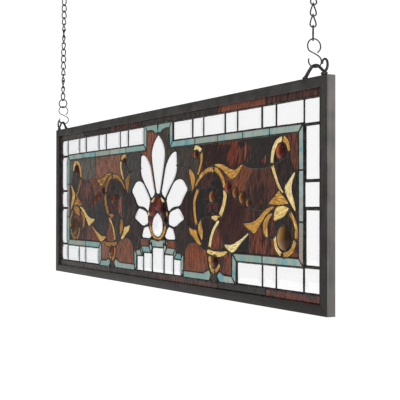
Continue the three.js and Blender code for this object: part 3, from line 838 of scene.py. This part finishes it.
def addEdgeStrips():
    shape = Shape()
    for side, tints in edgeTints.items():
        low, high = sorted((side * edgeStrip["low"], side * edgeStrip["high"]))
        under, over = edgeStrip["under"], edgeStrip["inChannel"]
        if side < 0:
            under, over = over, under
        joints = edgeJoints[side]
        for left, right, (sheet, wisp, share) in zip(joints, joints[1:], tints):
            made = block(left + edgeStrip["gap"], right - edgeStrip["gap"], low - under, high + over)
            addSheet(shape, made, "edge", (linearColour(sheet), linearColour(wisp), share), 84)
            borderOutlines.append(block(left + edgeStrip["seam"], right - edgeStrip["seam"], low, high))
    addPiece("edge_strips", shape, mahoganyGlass)


borderOutlines = []
addTeal()
addEdgeStrips()
print("border strips made:", len(borderOutlines))

# Dark field: its outer edge, and the solder lines of one half that cut it into pieces.
fieldEdge = [
    [0, 102.5], [9, 101.5], [17, 106], [39.7, 107.5], [39.7, 76.2], [391.2, 76.2], [391.2, -74],
    [230.7, -74], [230.7, -106], [210, -105.6], [197, -101], [189, -108], [189, -118], [175, -118],
    [175, -109], [169, -100.5], [160, -100], [150, -106.2], [90.6, -106.2], [90.6, -83.5],
    [65.5, -80.5], [65.5, -63], [0, -63],
]
fieldJoints = [
    [[260, 44], [260, 78]],
    [[260, 45], [272, 40], [288, 37.5], [310, 36.5], [333, 40]],
    [[264, 2], [272, 20], [283, 31], [298, 38]],
    [[277, -9], [268, -16], [262, -26], [264, -36]],
    [[210, 13], [222, 13.5], [242, 6], [260, -1], [275.5, -8]],
    [[63, 71], [63, 78]],
    [[277, -48], [277, -76]],
    [[277, -12], [296, -17], [318, -17]],
    [[100.6, 13.3], [117, 10]],
    [[89.4, -31.1], [107, -44]],
    [[60.6, -61.7], [66, -66]],
    [[65, 50], [86, 47], [108, 42]],
    [[373, 56], [376, 44], [385, 29.4]],
    [[385, 29.4], [391.2, 31]],
    [[386, -18.3], [391.2, -20]],
    [[357, 3], [364, 8]],
    [[333, 44], [334.5, 38]],
    [[336, 41], [352, 44], [354, 47]],
    [[196, -32], [200, -26]],
    [[197, -31], [200, -42], [202, -54], [211, -65]],
    [[212, -66], [204, -70], [200, -75]],
    [[220, -74.7], [229, -74.5]],
    [[170, -69], [170, -74]],
    [[162, -78], [159, -76]],
    [[144, -67.2], [146, -71]],
    [[148, -59.4], [145, -67]],
    [[129.4, -37], [137, -41]],
    [[143.5, -32.8], [158, -26.5], [175, -27.5]],
    [[127.5, 18], [133.9, 11.7]],
    [[116.5, 10], [127.5, 18]],
    [[134, 34], [137.5, 28.5]],
    [[107.8, 42.8], [124, 60]],
    [[143.3, 68.5], [145, 64.4]],
    [[123.3, 72.8], [122.5, 76.5]],
    [[276.7, -47.8], [282, -43.5]],
    [[334, -21.7], [338, -15]],
    [[371, -15.6], [375, -21]],
    [[387.5, -51], [385, -56]],
    [[360, -73], [353, -72]],
    [[339.5, -52], [337, -41], [338.3, -30]],
    [[322.8, -51.7], [331, -54], [339.5, -52]],
    [[179, 40], [184.4, 40.6]],
    [[212.5, 14], [213, 9]],
    [[181, 38], [180, 25]],
    [[5.3, 7.8], [11.7, 8.9]],
    [[24.4, 0.6], [28.9, -1.1]],
    [[36.7, -20], [38.9, -23.3]],
    [[37, -40], [31, -47.5]],
]
# Lines that only one of the halves has.
rightJoints = [[[135, 13], [150, 15], [164, 14.5], [174, 18]]]
leftJoints = [[
    [-143, 11], [-150, 2], [-157, -5], [-157.5, -21], [-150, -27], [-142, -33], [-139, -22],
    [-141, -8], [-138, 2], [-139, 10], [-143, 11],
]]
brownArch = [
    [92, -106], [95.6, -79], [104, -71], [113, -67.5], [129, -67.5], [159, -77], [164, -99], [150, -106],
]
brownTile = [[36, -66.5], [62, -66], [62, -74.5], [34, -74.5]]
# Small round jewels of one half: place, radius and kind.
jewels = [
    [353.5, 56.5, 9, "red"], [128.3, 63.3, 5, "red"], [177.8, 1, 7.5, "amber"],
    [184, -90, 8, "wine"], [222, 13.5, 7, "red"], [242, 6, 6.3, "amber"], [260, -1, 7, "amber"],
    [275.5, -8, 4.5, "amber"], [18.6, -18.5, 10.4, "bud"], [27, -35, 6.2, "bud"],
]
# Painted highlight and painted shade of each kind, in the right half and in the left one, where both are
# painted darker.
jewelHighlightAndShade = {
    "red": (("#c8553a", "#3a120c"), ("#401815", "#150a09")),
    "amber": (("#c47c36", "#44240f"), ("#6e301a", "#260e08")),
    "wine": (("#96482c", "#240e0a"), ("#6a3426", "#1c0c09")),
    "bud": (("#6e2c28", "#1c0606"), ("#6e2c28", "#1c0606")),
    "cabochon": (("#a87a42", "#2c1c0e"), ("#5a3a26", "#120a07")),
}
scrollJewel = {"x": 361, "z": -52, "radius": 15, "rise": 3, "under": 0.3}
# The bud in the middle of the palmette lies a hair to the left, so that its painted highlight falls on its
# right side.
middleBud = {"x": -0.01, "z": -8, "radius": 12, "rise": 3.6, "hole": 11.5}
drop = balanced([[0, -23], [12, -30], [17.5, -41], [16, -51], [9, -57.5], [0, -59.5]], 24)
# Petals of the flower in each scroll: place, reach across and up, sheet.
blossom = [
    [180, 20, 6.2, 6.4, "wine"], [161.5, 4, 6.2, 6.4, "wine"], [194.5, 6, 6.4, 6.4, "wine"],
    [168.5, -14, 6.4, 6.2, "claret"], [187.5, -13, 7, 6.2, "claret"], [179.5, -23, 4.6, 2.6, "claret"],
]
# Colour, wisp, share of wisps and angle of the streaks of each dark sheet.
sheets = {
    "soot": ("#3e362f", "#524a41", 0.35, 80), "coal": ("#15100d", "#2e231e", 0.35, 85),
    "umber": ("#1a0c09", "#44201a", 0.4, 88), "peat": ("#251b18", "#3e2e29", 0.4, 85),
    "mahogany": ("#24120e", "#743018", 0.36, 62), "russet": ("#462116", "#784128", 0.5, 60),
    "cocoa": ("#2e1b15", "#583226", 0.42, 88), "oxblood": ("#2a0f0a", "#42180f", 0.45, 80),
    "char": ("#2a2522", "#b04a2c", 0.02, 76), "chestnut": ("#48261b", "#6a3a2a", 0.5, 88),
    "ember": ("#30140e", "#7c3a22", 0.42, 88), "brick": ("#6a3018", "#884624", 0.5, 88),
    "wine": ("#1e090a", "#3c1416", 0.4, 45), "claret": ("#3a0c12", "#641820", 0.5, 45),
    "slate": ("#3e3a37", "#4c4844", 0.4, 80), "stone": ("#544f48", "#6a6159", 0.45, 80),
    "clay": ("#6e4636", "#8a5c4a", 0.5, 86), "rosewood": ("#553022", "#7a4a34", 0.5, 60),
    "maroon": ("#3a2925", "#6e443a", 0.35, 82), "ash": ("#302b2a", "#423c3a", 0.4, 80),
    "smoke": ("#2a201e", "#433532", 0.4, 80), "flame": ("#663a27", "#86503a", 0.5, 82),
}
# The left half's pieces are cut from lighter, greyer sheets than their mirror pieces on the right (slate,
# stone, clay, rosewood, maroon, ash, smoke and flame): mostly a painted reflection of the surroundings on
# that half, partly the glass's own colour.
# The pieces of the field that are cut from each sheet, by a point of each piece.
cuts = {
    "soot": [(100, 60), (85, 36), (125, 48), (31, 85)],
    "char": [(300, 62)],
    "chestnut": [(383, 60)],
    "coal": [(262, -66), (145, -10), (345, 62), (365, 46)],
    "umber": [(105, -10), (155, 28), (160, -50)],
    "peat": [(80, -55), (72, -74), (350, 30), (389, 5), (345, -38), (375, -34), (180, -115)],
    "mahogany": [(210, 65)],
    "russet": [(258, 25)],
    "cocoa": [(300, 5), (283, -26)],
    "oxblood": [(230, -35)],
    "ember": [(300, -62), (388, -71), (218, -95), (190, -60), (330, -44)],
    "flame": [(-31, 85), (-149, -12)],
    "slate": [(-100, 60), (-85, 36), (-125, 48), (-345, 62), (-365, 46)],
    "stone": [(-300, 62), (-383, 60)],
    "clay": [(-210, 65), (-218, -95)],
    "rosewood": [(-258, 25), (-190, -60), (-262, -66)],
    "maroon": [(-300, 5), (-300, -62), (-345, -38), (-375, -34), (-388, -71), (-330, -44)],
    "ash": [(-283, -26), (-230, -35), (-350, 30), (-389, 5), (-160, -50), (-180, -115), (-133, -15)],
    "smoke": [(-105, -10), (-80, -55), (-72, -74), (-165, 28)],
}
# Where the light wisps gather or thin out in a sheet: place, reach across and up, share.
flares = [
    [238, 62, 14, 16, 0.26], [222, 52, 8, 10, 0.14], [268, 60, 9, 26, 0.5], [286, 66, 9, 18, 0.4],
    [200, 62, 30, 20, -0.1],
    [255, 22, 16, 14, 0.15], [328, 12, 12, 12, 0.25], [314, 48, 11, 12, 0.42], [290, 22, 14, 12, 0.12],
    [300, -60, 9, 18, 0.1], [184, -62, 6, 14, 0.2], [226, -94, 6, 14, 0.25], [389, -71, 5, 6, 0.3],
    [216, -6, 14, 10, -0.2], [155, 26, 16, 12, 0.3], [148, -50, 14, 16, -0.15],
    [-310, 20, 22, 14, 0.2], [-288, -64, 10, 18, 0.45], [-350, -36, 14, 5, 0.5], [-31, 85, 9, 20, 0.15],
]


def sheetAt(point, name):
    sheet, wisp, share, angle = sheets[name]
    for x, z, wide, high, extra in flares:
        away = ((point.x - x) / wide) ** 2 + ((point.y - z) / high) ** 2
        share += extra * math.exp(-away)
    return linearColour(sheet), linearColour(wisp), share


def oval(x, z, wide, high, sides=16):
    return [Vector((x + wide * p.x, z + high * p.y)) for p in disc(0, 0, 1, sides)]


# "narrow" is the widest gap between two seams that solder fills, and "runOn" is how far a
# line runs on into the seam that it meets.
cutLook = {"grid": 9, "stagger": 4.3, "rise": 0.7, "columns": 44, "rows": 13, "weld": 0.02,
           "narrow": 2.2, "least": 0.5, "runOn": 2}


def fieldPoints(lines, field):
    points = []
    edges = []
    for line, closed in lines:
        start = len(points)
        count = len(line)
        points += line
        edges += [(start + i, start + (i + 1) % count) for i in range(count if closed else count - 1)]
    grid = cutLook["grid"]
    for i in range(-cutLook["columns"], cutLook["columns"] + 1):
        for j in range(-cutLook["rows"], cutLook["rows"]):
            spot = Vector((i * grid + (j % 2) * cutLook["stagger"], j * grid + cutLook["rise"]))
            if inside(spot, field):
                points.append(spot)
    return points, edges


def fieldFaces(points, edges):
    found = delaunay_2d_cdt(points, edges, [], 0, cutLook["weld"], True)
    verts = [Vector(v) for v in found[0]]
    cutEdges, faces, sources = found[1], found[2], found[4]
    walls = {frozenset(edge) for edge, source in zip(cutEdges, sources) if source}
    onWall = {v for wall in walls for v in wall}
    for a, b in cutEdges:
        if a in onWall and b in onWall and (verts[a] - verts[b]).length < cutLook["narrow"]:
            walls.add(frozenset((a, b)))
    return verts, faces, walls


# Faces that meet across an edge without solder belong to one piece of glass.
def fieldPieces(faces, walls):
    neighbours = {}
    for i, face in enumerate(faces):
        for a, b in zip(face, [*face[1:], face[0]]):
            neighbours.setdefault(frozenset((a, b)), []).append(i)
    loose = set(range(len(faces)))
    pieces = []
    while loose:
        piece = []
        front = [loose.pop()]
        while front:
            i = front.pop()
            piece.append(i)
            face = faces[i]
            for a, b in zip(face, [*face[1:], face[0]]):
                side = frozenset((a, b))
                if side not in walls:
                    found = [j for j in neighbours[side] if j in loose]
                    loose.difference_update(found)
                    front += found
        pieces.append(piece)
    return pieces


def sheetOf(middle, triangles, petalsOfBlossom):
    # The left half's default sheet is lighter and greyer: mostly painted reflection, partly the glass's own
    # colour.
    name = "umber" if middle.x > 0 else "smoke"
    for outline, sheet in petalsOfBlossom:
        if inside(middle, outline):
            name = sheet
    if abs(middle.x) < 36 and middle.y < 0:  # round the bud and the drop
        name = "wine"
    for title, places in cuts.items():
        if any(inside(Vector(p), t) for p in places for t in triangles):
            name = title
    return name


def addTile(shape, faces, verts, name):
    used = sorted({v for face in faces for v in face})
    order = {v: i for i, v in enumerate(used)}
    flat = [verts[v] for v in used]
    count = len(flat)
    front = []
    for face in faces:
        corners = [order[v] for v in face]
        front.append(corners if area([flat[i] for i in corners]) > 0 else corners[::-1])
    made = front + [[i + count for i in reversed(corners)] for corners in front]
    sides = {(a, b) for face in front for a, b in zip(face, face[1:] + face[:1])}
    made += [[a, a + count, b + count, b] for a, b in sides if (b, a) not in sides]
    look = sheetLook["field"]
    points = [atDepth(p, look["front"]) for p in flat] + [atDepth(p, look["back"]) for p in flat]
    tints = [sheetAt(p, name) for p in flat]
    shape.add(points, made, streakMaps(made, flat, 0.41, sheets[name][3]), tints * 2)


def cutField():
    half = [Vector(p) for p in fieldEdge]
    field = facing([*half, *[p for p in mirrored(half) if p.x < 0]])
    arches = [facing(brownArch), facing(brownTile)]
    rounds = [disc(x, z, radius) for x, z, radius, kind in jewels]
    rounds.append(disc(scrollJewel["x"], scrollJewel["z"], scrollJewel["radius"], 32))
    others = [drop, disc(0, middleBud["z"], middleBud["hole"]), *bothHalves([*rounds, *arches])]
    covers = [grown(o, beadLook["half"]) for o in [*amberOutlines, *petals.values(), *others]]
    petalsOfBlossom = [(oval(*row[:4]), row[4]) for row in blossom]
    petalsOfBlossom += [(mirrored(outline), sheet) for outline, sheet in petalsOfBlossom]
    joints = [[Vector(p) for p in line] for line in fieldJoints]
    joints += [[Vector((-p.x, p.y)) for p in line] for line in joints]
    joints += [[Vector(p) for p in line] for line in rightJoints + leftJoints]
    closedLines = [*covers, field, *[outline for outline, sheet in petalsOfBlossom]]
    lines = [(outline, True) for outline in closedLines]
    for line in joints:
        start = line[0] + (line[0] - line[1]).normalized() * cutLook["runOn"]
        end = line[-1] + (line[-1] - line[-2]).normalized() * cutLook["runOn"]
        lines.append(([start, *line, end], False))
    verts, faces, walls = fieldFaces(*fieldPoints(lines, field))
    shape = Shape()
    made = 0
    for piece in fieldPieces(faces, walls):
        triangles = [[verts[v] for v in faces[i]] for i in piece]
        widest = max(triangles, key=lambda t: abs(area(t)))
        middle = sum(widest, Vector((0, 0))) / 3
        covered = any(inside(middle, outline) for outline in covers)
        if not covered and inside(middle, field) and abs(area(widest)) >= cutLook["least"]:
            addTile(shape, [faces[i] for i in piece], verts, sheetOf(middle, triangles, petalsOfBlossom))
            made += 1
    addPiece("field_glass", shape, mahoganyGlass)
    print("field cut into", made, "pieces")
    brown = Shape()
    for outline in bothHalves(arches):
        # The left arch's sheet is greyer than the right one's: partly painted reflection, partly the glass's
        # own colour.
        sheet = "brick" if outline[0].x > 0 else "flame"
        addSheet(brown, outline, "arch", sheetAt(outline[0], sheet), 88)
    addPiece("brown_arches", brown, mahoganyGlass)
    seams = [*amberOutlines, *others, field, *borderOutlines]
    return seams, [outline for outline, sheet in petalsOfBlossom], joints


seams, blossomPetals, joints = cutField()


# The solder lattice: a seam round every piece, and two strips of lead up each end.
endLeads = {"strips": ((437.6, 2.2), (442.4, 2.6)), "high": 128, "depth": 2.0}


def addLattice():
    shape = Shape()
    for outline in seams:
        addSeam(shape, grown(outline, beadLook["half"]))
    for outline in petals.values():
        addSeam(shape, grown(outline, beadLook["half"]), depth=beadLook["petalDepth"])
    for outline in plateOutlines:
        addSeam(shape, grown(outline, beadLook["half"]), beadLook["flatHalf"], beadLook["flatDepth"])
    for outline in blossomPetals:
        addSeam(shape, outline, beadLook["blossomHalf"])
    for line in joints:
        addBead(shape, line, half=beadLook["jointHalf"])
    for side, name in halves:
        for x, half in endLeads["strips"]:
            ends = [Vector((side * x, z)) for z in (-endLeads["high"], endLeads["high"])]
            addBead(shape, ends, half=half, depth=endLeads["depth"])
    addPiece("solder_lattice", shape, solder, ["leaded_panel"])
    print("solder lattice faces:", len(shape.faces))


addLattice()


# Jewels: a flat back, a short wall and a domed front. A painted highlight lies on the side
# towards the middle of the panel, fading to painted shade on the far side.
jewelLook = {"back": 1.6, "backShare": 0.96, "wall": 1.2, "front": -1.4, "under": 0.5, "rise": 0.34,
             "middle": 0.45, "slope": 0.85, "power": 1.5}


def addDome(shape, x, z, radius, rise, kind, sides=28, rings=7):
    look = jewelLook
    profile = [(radius * look["backShare"], look["back"]), (radius, look["wall"]), (radius, -look["wall"])]
    for i in range(rings):
        turn = i / rings * math.pi / 2
        profile.append((radius * math.cos(turn), look["front"] - rise * math.sin(turn)))
    points = []
    for across, depth in profile:
        points += [atDepth(p, depth) for p in disc(x, z, across, sides)]
    top = len(points)
    points.append(atDepth(Vector((x, z)), look["front"] - rise))
    faces = [list(reversed(range(sides)))]
    last = (len(profile) - 1) * sides
    for here in range(0, last, sides):
        faces += band(here, here + sides, sides)
    faces += [[last + k, last + (k + 1) % sides, top] for k in range(sides)]
    # Painted highlight and painted shade of this kind, both darker in the left half.
    paintedHighlight, deep = map(linearColour, jewelHighlightAndShade[kind][0 if x > 0 else 1])
    tints = []
    for p in points:
        away = (p.x / mm - x) / radius * (1 if x > 0 else -1)
        share = max(0, min(1, look["middle"] - look["slope"] * away))
        colour = [a + (b - a) * share ** look["power"] for a, b in zip(deep, paintedHighlight)]
        tints.append((colour, colour, 0))
    shape.add(points, faces, None, tints)


def addJewels():
    shape = Shape()
    for side, name in halves:
        for x, z, radius, kind in jewels:
            addDome(shape, side * x, z, radius + jewelLook["under"], jewelLook["rise"] * radius, kind)
    addDome(shape, middleBud["x"], middleBud["z"], middleBud["radius"], middleBud["rise"], "bud")
    addPiece("pressed_jewels", shape, jewelGlass, smoothAngle=50)
    for side, name in halves:
        shape = Shape()
        radius = scrollJewel["radius"] + scrollJewel["under"]
        addDome(shape, side * scrollJewel["x"], scrollJewel["z"], radius, scrollJewel["rise"],
                "cabochon", 48, 10)
        addPiece("scroll_cabochon_" + name, shape, jewelGlass, ["scroll_jewel_" + name], 50)


# The drop: how far each ring of its outline is drawn in, and at what depth.
dropLook = {"under": 0.6,
            "rings": [(0, 1.6), (0, -1.4), (-0.8, -2.2), (-2.6, -3.0), (-6, -3.6), (-10, -3.9)]}


def addDrop():
    shape = Shape()
    outer = grown(drop, dropLook["under"])
    points = []
    for shrink, depth in dropLook["rings"]:
        points += [atDepth(p, depth) for p in grown(outer, shrink)]
    shape.add(points, tube(len(dropLook["rings"]), len(outer)))
    addPiece("milky_drop", shape, dropGlass, ["centre_drop"], 50)


addJewels()
addDrop()
print("jewels made")


# Zinc channel: the bars meet in mitres, with softly worn edges.
channelLook = {"width": 915, "height": 280, "face": 13, "web": 5.5, "half": 6, "groove": 2.8,
               "arris": 0.4, "lip": 0.35, "root": 0.05, "gap": 0.15}
# Length, distance from the centre, angle, and the painted shade at each end, white for none:
# the bottom bar and the right bar are painted darker towards one end.
bars = {
    "top": (channelLook["width"], channelLook["height"] / 2, 0, "#ffffff", "#ffffff"),
    "bottom": (channelLook["width"], channelLook["height"] / 2, 180, "#989899", "#ffffff"),
    "right": (channelLook["height"], channelLook["width"] / 2, 90, "#ffffff", "#aeb0b2"),
    "left": (channelLook["height"], channelLook["width"] / 2, -90, "#ffffff", "#ffffff"),
}


# One side of the channel's section, from the outer edge in, and the same one turned over.
def channelSection():
    c = channelLook
    side = [(0, c["half"], c["arris"]), (c["face"], c["half"], c["arris"]),
            (c["face"], c["groove"], c["lip"]), (c["web"], c["groove"], c["root"])]
    corners = [(Vector((x, -y)), radius) for x, y, radius in side]
    corners += [(Vector((x, y)), radius) for x, y, radius in reversed(side)]
    section = []
    for i, (p, radius) in enumerate(corners):
        section += roundedCorner(corners[i - 1][0], p, corners[(i + 1) % len(corners)][0], radius)
    return section


def addBar(name, section, length, distance, angle, paintedShadeTones):
    count = len(section)
    around = [0.0]
    for a, b in zip(section, section[1:] + section[:1]):
        around.append(around[-1] + (b - a).length)
    turn = Matrix.Rotation(math.radians(angle), 3, "Y")
    points = []
    for end in (-1, 1):
        for p in section:
            reach = length / 2 - p.x - channelLook["gap"]
            spot = turn @ Vector((end * reach, p.y, distance - p.x))
            points.append(Vector((spot.x * mm, spot.y * mm, panelZ + spot.z * mm)))
    faces = [list(range(count)), list(reversed(range(count, 2 * count)))]
    maps = [[(0, p.x * mm) for p in section]] * 2
    for i in range(count):
        after = (i + 1) % count
        faces.append([i, i + count, after + count, after])
        low = around[i] * mm
        high = around[i + 1] * mm
        maps.append([(0, low), (length * mm, low), (length * mm, high), (0, high)])
    tints = []
    # Painted shade at each end of the bar, blended along its length.
    for tone in paintedShadeTones:
        shade = Vector(linearColour(tone))
        paintedHalfShade = tuple((shade + Vector(linearColour("#ffffff"))) / 2)  # the outer face, lit from the side, takes only half the painted shade
        tints += [(paintedHalfShade, paintedHalfShade, 0) if p.x < 0.01 else (tuple(shade), tuple(shade), 0) for p in section]
    shape = Shape()
    shape.add(points, faces, maps, tints)
    addPiece("channel_" + name, shape, zinc, ["frame_" + name], 30)


def addFrame():
    section = channelSection()
    for name, (length, distance, angle, *paintedShadeTones) in bars.items():
        addBar(name, section, length, distance, angle, paintedShadeTones)


addFrame()
print("frame made")


# Bent wire: a round section carried along a line without twisting.
def addWire(shape, line, radius, closed=False, sides=10, taper=1.0):
    count = len(line)
    tangents = []
    for i in range(count):
        before = line[i - 1] if closed or i else line[0]
        after = line[(i + 1) % count] if closed or i < count - 1 else line[-1]
        tangents.append((after - before).normalized())
    across = tangents[0].orthogonal().normalized()
    frames = [across]
    for a, b in zip(tangents, tangents[1:]):
        across = a.rotation_difference(b) @ across
        frames.append(across)
    twist = 0
    if closed:
        last = tangents[-1].rotation_difference(tangents[0]) @ frames[-1]
        twist = last.angle(frames[0]) * (1 if last.cross(frames[0]).dot(tangents[0]) > 0 else -1)
    points = []
    for i, (p, tangent, across) in enumerate(zip(line, tangents, frames)):
        size = radius * (1 + (taper - 1) * i / count)
        turned = Matrix.Rotation(twist * i / count, 3, tangent) @ across
        other = tangent.cross(turned)
        for k in range(sides):
            angle = math.tau * k / sides
            points.append(p + (turned * math.cos(angle) + other * math.sin(angle)) * size)
    shape.add(points, tube(count, sides, closed))


def bowl(centre, reach, start, end, steps):
    angles = [math.radians(start + (end - start) * i / steps) for i in range(steps + 1)]
    return [[centre[0] + reach[0] * math.cos(a), centre[1] + reach[1] * math.sin(a)] for a in angles]


def linkLine(middle, wire, length, width, turn, twist, taper, steps=36):
    stretch = (length - width) / 2
    line = []
    for i in range(steps):
        angle = math.tau * i / steps
        up = (width / 2 - wire) * math.sin(angle)
        up += stretch * max(-1, min(1, 3 * math.sin(angle)))
        side = (width / 2 - wire) * math.cos(angle) * (1 - taper * max(0, up) * 2 / length)
        way = turn + twist * up / (length - 2 * wire)
        line.append(middle + Vector((side * math.cos(way), side * math.sin(way), up)) * mm)
    return line


# The bends of each wire: middle, half width and half height, first and last angle, from the
# top of the hanger's arch. "forward" is a part's depth, less than zero towards the front.
hangerLook = {"wire": 2.2, "taper": 0.54, "rise": 13.4, "forward": -3, "foot": -20.5,
              "crest": ((0.6, -9.2), (13, 9.6), 125, 52), "curl": ((20, -1.5), (5.9, 7), -95, 150),
              "mounds": [(-22.5, -17, 1.3), (16, 22.6, 2.2)], "moundDepth": 2.2}
hangerFoot = [hangerLook["foot"], hangerLook["wire"] / 2 - hangerLook["rise"]]
hangerLine = [hangerFoot, [-17, -10], [-12, -5.5], *bowl(*hangerLook["crest"], 4), [16, -7],
              *bowl(*hangerLook["curl"], 7), [16, 1]]
archTop = channelLook["height"] / 2 + hangerLook["rise"]


def hungAt(x, across, forward, up):
    return Vector((x * mm, 0, panelZ)) + Vector((across, forward, up)) * mm


def addHanger(name, side, x):
    shape = Shape()
    line = [hungAt(x, side * p.x, 0, archTop + p.y) for p in curveThrough(hangerLine, 85)]
    addWire(shape, line, hangerLook["wire"] * mm, sides=12, taper=hangerLook["taper"])
    for start, end, half in hangerLook["mounds"]:
        foot = [Vector((x + side * reach, channelLook["height"] / 2 + half)) for reach in (start, end)]
        addBead(shape, foot, half=half, depth=hangerLook["moundDepth"])
    forward = Vector((0, hangerLook["forward"] * mm, 0))
    shape.points = [p + forward for p in shape.points]
    addPiece("hanger_wire_" + name, shape, wireSteel, ["hanger_" + name])


hookLook = {"wire": 0.85, "forward": {"right": -3.4, "left": -1.2},
            "upper": ((-0.3, 23.2), (9.3, 8.6), -58, 222), "lower": ((0.9, 5.6), (9.3, 7.6), 48, -198)}
hookLine = [*bowl(*hookLook["upper"], 8), [0.5, 14.5], *bowl(*hookLook["lower"], 8)]
hookTop = hookLook["upper"][0][1] + hookLook["upper"][1][1]


def addHook(name, x):
    shape = Shape()
    forward = hookLook["forward"][name]
    line = [hungAt(x, 0, p.x + forward, archTop + p.y) for p in curveThrough(hookLine, 90)]
    addWire(shape, line, hookLook["wire"] * mm)
    addPiece("s_hook_wire_" + name, shape, wireSteel, ["s_hook_" + name])


chainLook = {"width": 10.4, "twist": 1.3, "taper": 0.25, "bite": 0.3,
             "right": {"wire": 0.9, "ring": 8.8, "length": 16.8, "count": 16, "forward": -5.2,
                       "ringTurn": 2.56, "firstTurn": 1.87, "step": 0},
             "left": {"wire": 1.1, "ring": 8, "length": 16.92, "count": 17, "forward": -2.4,
                      "ringTurn": 0.85, "firstTurn": 0.63, "step": -0.411}}


def addChain(name, x):
    look = chainLook[name]
    wire = look["wire"]
    shape = Shape()
    ringZ = archTop + hookTop - hookLook["wire"] - wire - chainLook["bite"] + look["ring"]
    across = 2 * (look["ring"] + wire)
    spot = hungAt(x, 0, look["forward"], ringZ)
    addWire(shape, linkLine(spot, wire, across, across, look["ringTurn"], 0, 0, 40), wire * mm, closed=True)
    first = ringZ + look["ring"] - 3 * wire + look["length"] / 2
    pitch = look["length"] - 4 * wire
    for i in range(look["count"]):
        lean = look["forward"] * (1 - i / look["count"])  # upright again at the top
        spot = hungAt(x, 0, lean, first + i * pitch)
        line = linkLine(spot, wire, look["length"], chainLook["width"],
                        look["firstTurn"] + i * look["step"], chainLook["twist"], chainLook["taper"])
        addWire(shape, line, wire * mm, closed=True)
    addPiece("twisted_chain_" + name, shape, wireSteel, ["chain_" + name])


topRingLook = {"wire": 1.3, "radius": 9}


def addTopRing(name, middle):
    shape = Shape()
    size = 2 * (topRingLook["radius"] + topRingLook["wire"])
    ring = linkLine(middle, topRingLook["wire"], size, size, math.pi / 2, 0, 0, 48)
    addWire(shape, ring, topRingLook["wire"] * mm, closed=True, sides=12)
    addPiece("hanging_ring_" + name, shape, wireSteel, ["top_ring_" + name])


for side, name in halves:
    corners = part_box("top_ring_" + name)
    x = (corners[0].x + corners[1].x) / 2 / mm
    addHanger(name, side, x)
    addHook(name, x)
    addChain(name, x)
    addTopRing(name, (corners[0] + corners[1]) / 2)
print("hanging hardware made")

# Studio: pale floor, white all round, a soft box behind the right end and one above the front.
studio = {"floor": -1.5, "reach": 9, "paper": ("#fbfbfa", "#fefefe"), "white": 1.08, "mirrored": 0.2}
softBoxes = {
    "side_box": {"place": (2.1, 1.2, -0.3), "target": (0.46, 0, panelZ), "size": (1.4, 1.8), "power": 36},
    "top_box": {"place": (0.3, -1.8, 1.2), "target": (0, 0, panelZ), "size": (1.8, 1.0), "power": 10},
}


def addFloor():
    size = studio["reach"]
    mesh = bpy.data.meshes.new("studio_floor")
    square = ((-size, -size), (size, -size), (size, size), (-size, size))
    mesh.from_pydata([(x, y, studio["floor"]) for x, y in square], [], [(0, 1, 2, 3)])
    floor = bpy.data.objects.new("studio_floor", mesh)
    bpy.context.scene.collection.objects.link(floor)
    # Matt paper: almost white, with a very faint mottle, three to a metre.
    paper = newMaterial("mattPaper")
    mottle = addNode(paper, "ShaderNodeTexNoise", {"Scale": 3 / (1000 * mm), "Detail": 2.0})
    low, high = map(linearColour, studio["paper"])
    colour = addNode(paper, "ShaderNodeMix", {"data_type": "RGBA", 6: low, 7: high},
                     {0: mottle.outputs["Fac"]})
    finishMaterial(paper, {"Roughness": 0.9, "Specular IOR Level": 0.0}, {"Base Color": colour.outputs[2]})
    mesh.materials.append(paper)


# White all round, and dimmer where polished metal or the front of the glass mirrors it.
def addSurroundings():
    world = bpy.data.worlds.new("studio")
    world.use_nodes = True
    world.node_tree.nodes.clear()
    path = addNode(world, "ShaderNodeLightPath")
    mirror = addNode(world, "ShaderNodeMath", {"operation": "SUBTRACT", "use_clamp": True}, {
        0: path.outputs["Is Glossy Ray"], 1: path.outputs["Is Transmission Ray"],
    })
    white = addNode(world, "ShaderNodeBackground", {"Color": (1, 1, 1, 1), "Strength": studio["white"]})
    soft = addNode(world, "ShaderNodeBackground", {"Color": (1, 1, 1, 1), "Strength": studio["mirrored"]})
    blend = addNode(world, "ShaderNodeMixShader", links={
        0: mirror.outputs[0], 1: white.outputs[0], 2: soft.outputs[0],
    })
    addNode(world, "ShaderNodeOutputWorld", links={"Surface": blend.outputs[0]})
    bpy.context.scene.world = world


def addSoftBox(name, place, target, size, power):
    light = bpy.data.lights.new(name, "AREA")
    light.shape = "RECTANGLE"
    light.size = size[0]
    light.size_y = size[1]
    light.energy = power
    lamp = bpy.data.objects.new(name, light)
    lamp.location = place
    lamp.rotation_euler = (Vector(target) - Vector(place)).to_track_quat("-Z", "Y").to_euler()
    bpy.context.scene.collection.objects.link(lamp)


# Place in millimetres from the panel's centre, and angles in degrees.
cameraLook = {"place": (1350.4, -652.4, -14.4), "tilt": 90.4755, "roll": -0.097, "turn": 61.709,
              "lens": 85.54, "sensor": 36}


def addCamera():
    camera = bpy.data.cameras.new("camera")
    camera.lens = cameraLook["lens"]
    camera.sensor_width = cameraLook["sensor"]
    rig = bpy.data.objects.new("camera", camera)
    x, y, z = cameraLook["place"]
    rig.location = (x * mm, y * mm, panelZ + z * mm)
    rig.rotation_euler = [math.radians(cameraLook[k]) for k in ("tilt", "roll", "turn")]
    bpy.context.scene.collection.objects.link(rig)
    bpy.context.scene.camera = rig


addFloor()
addSurroundings()
for name, box in softBoxes.items():
    addSoftBox(name, **box)
addCamera()
bpy.context.scene.view_settings.view_transform = "Standard"
print("studio and camera ready")
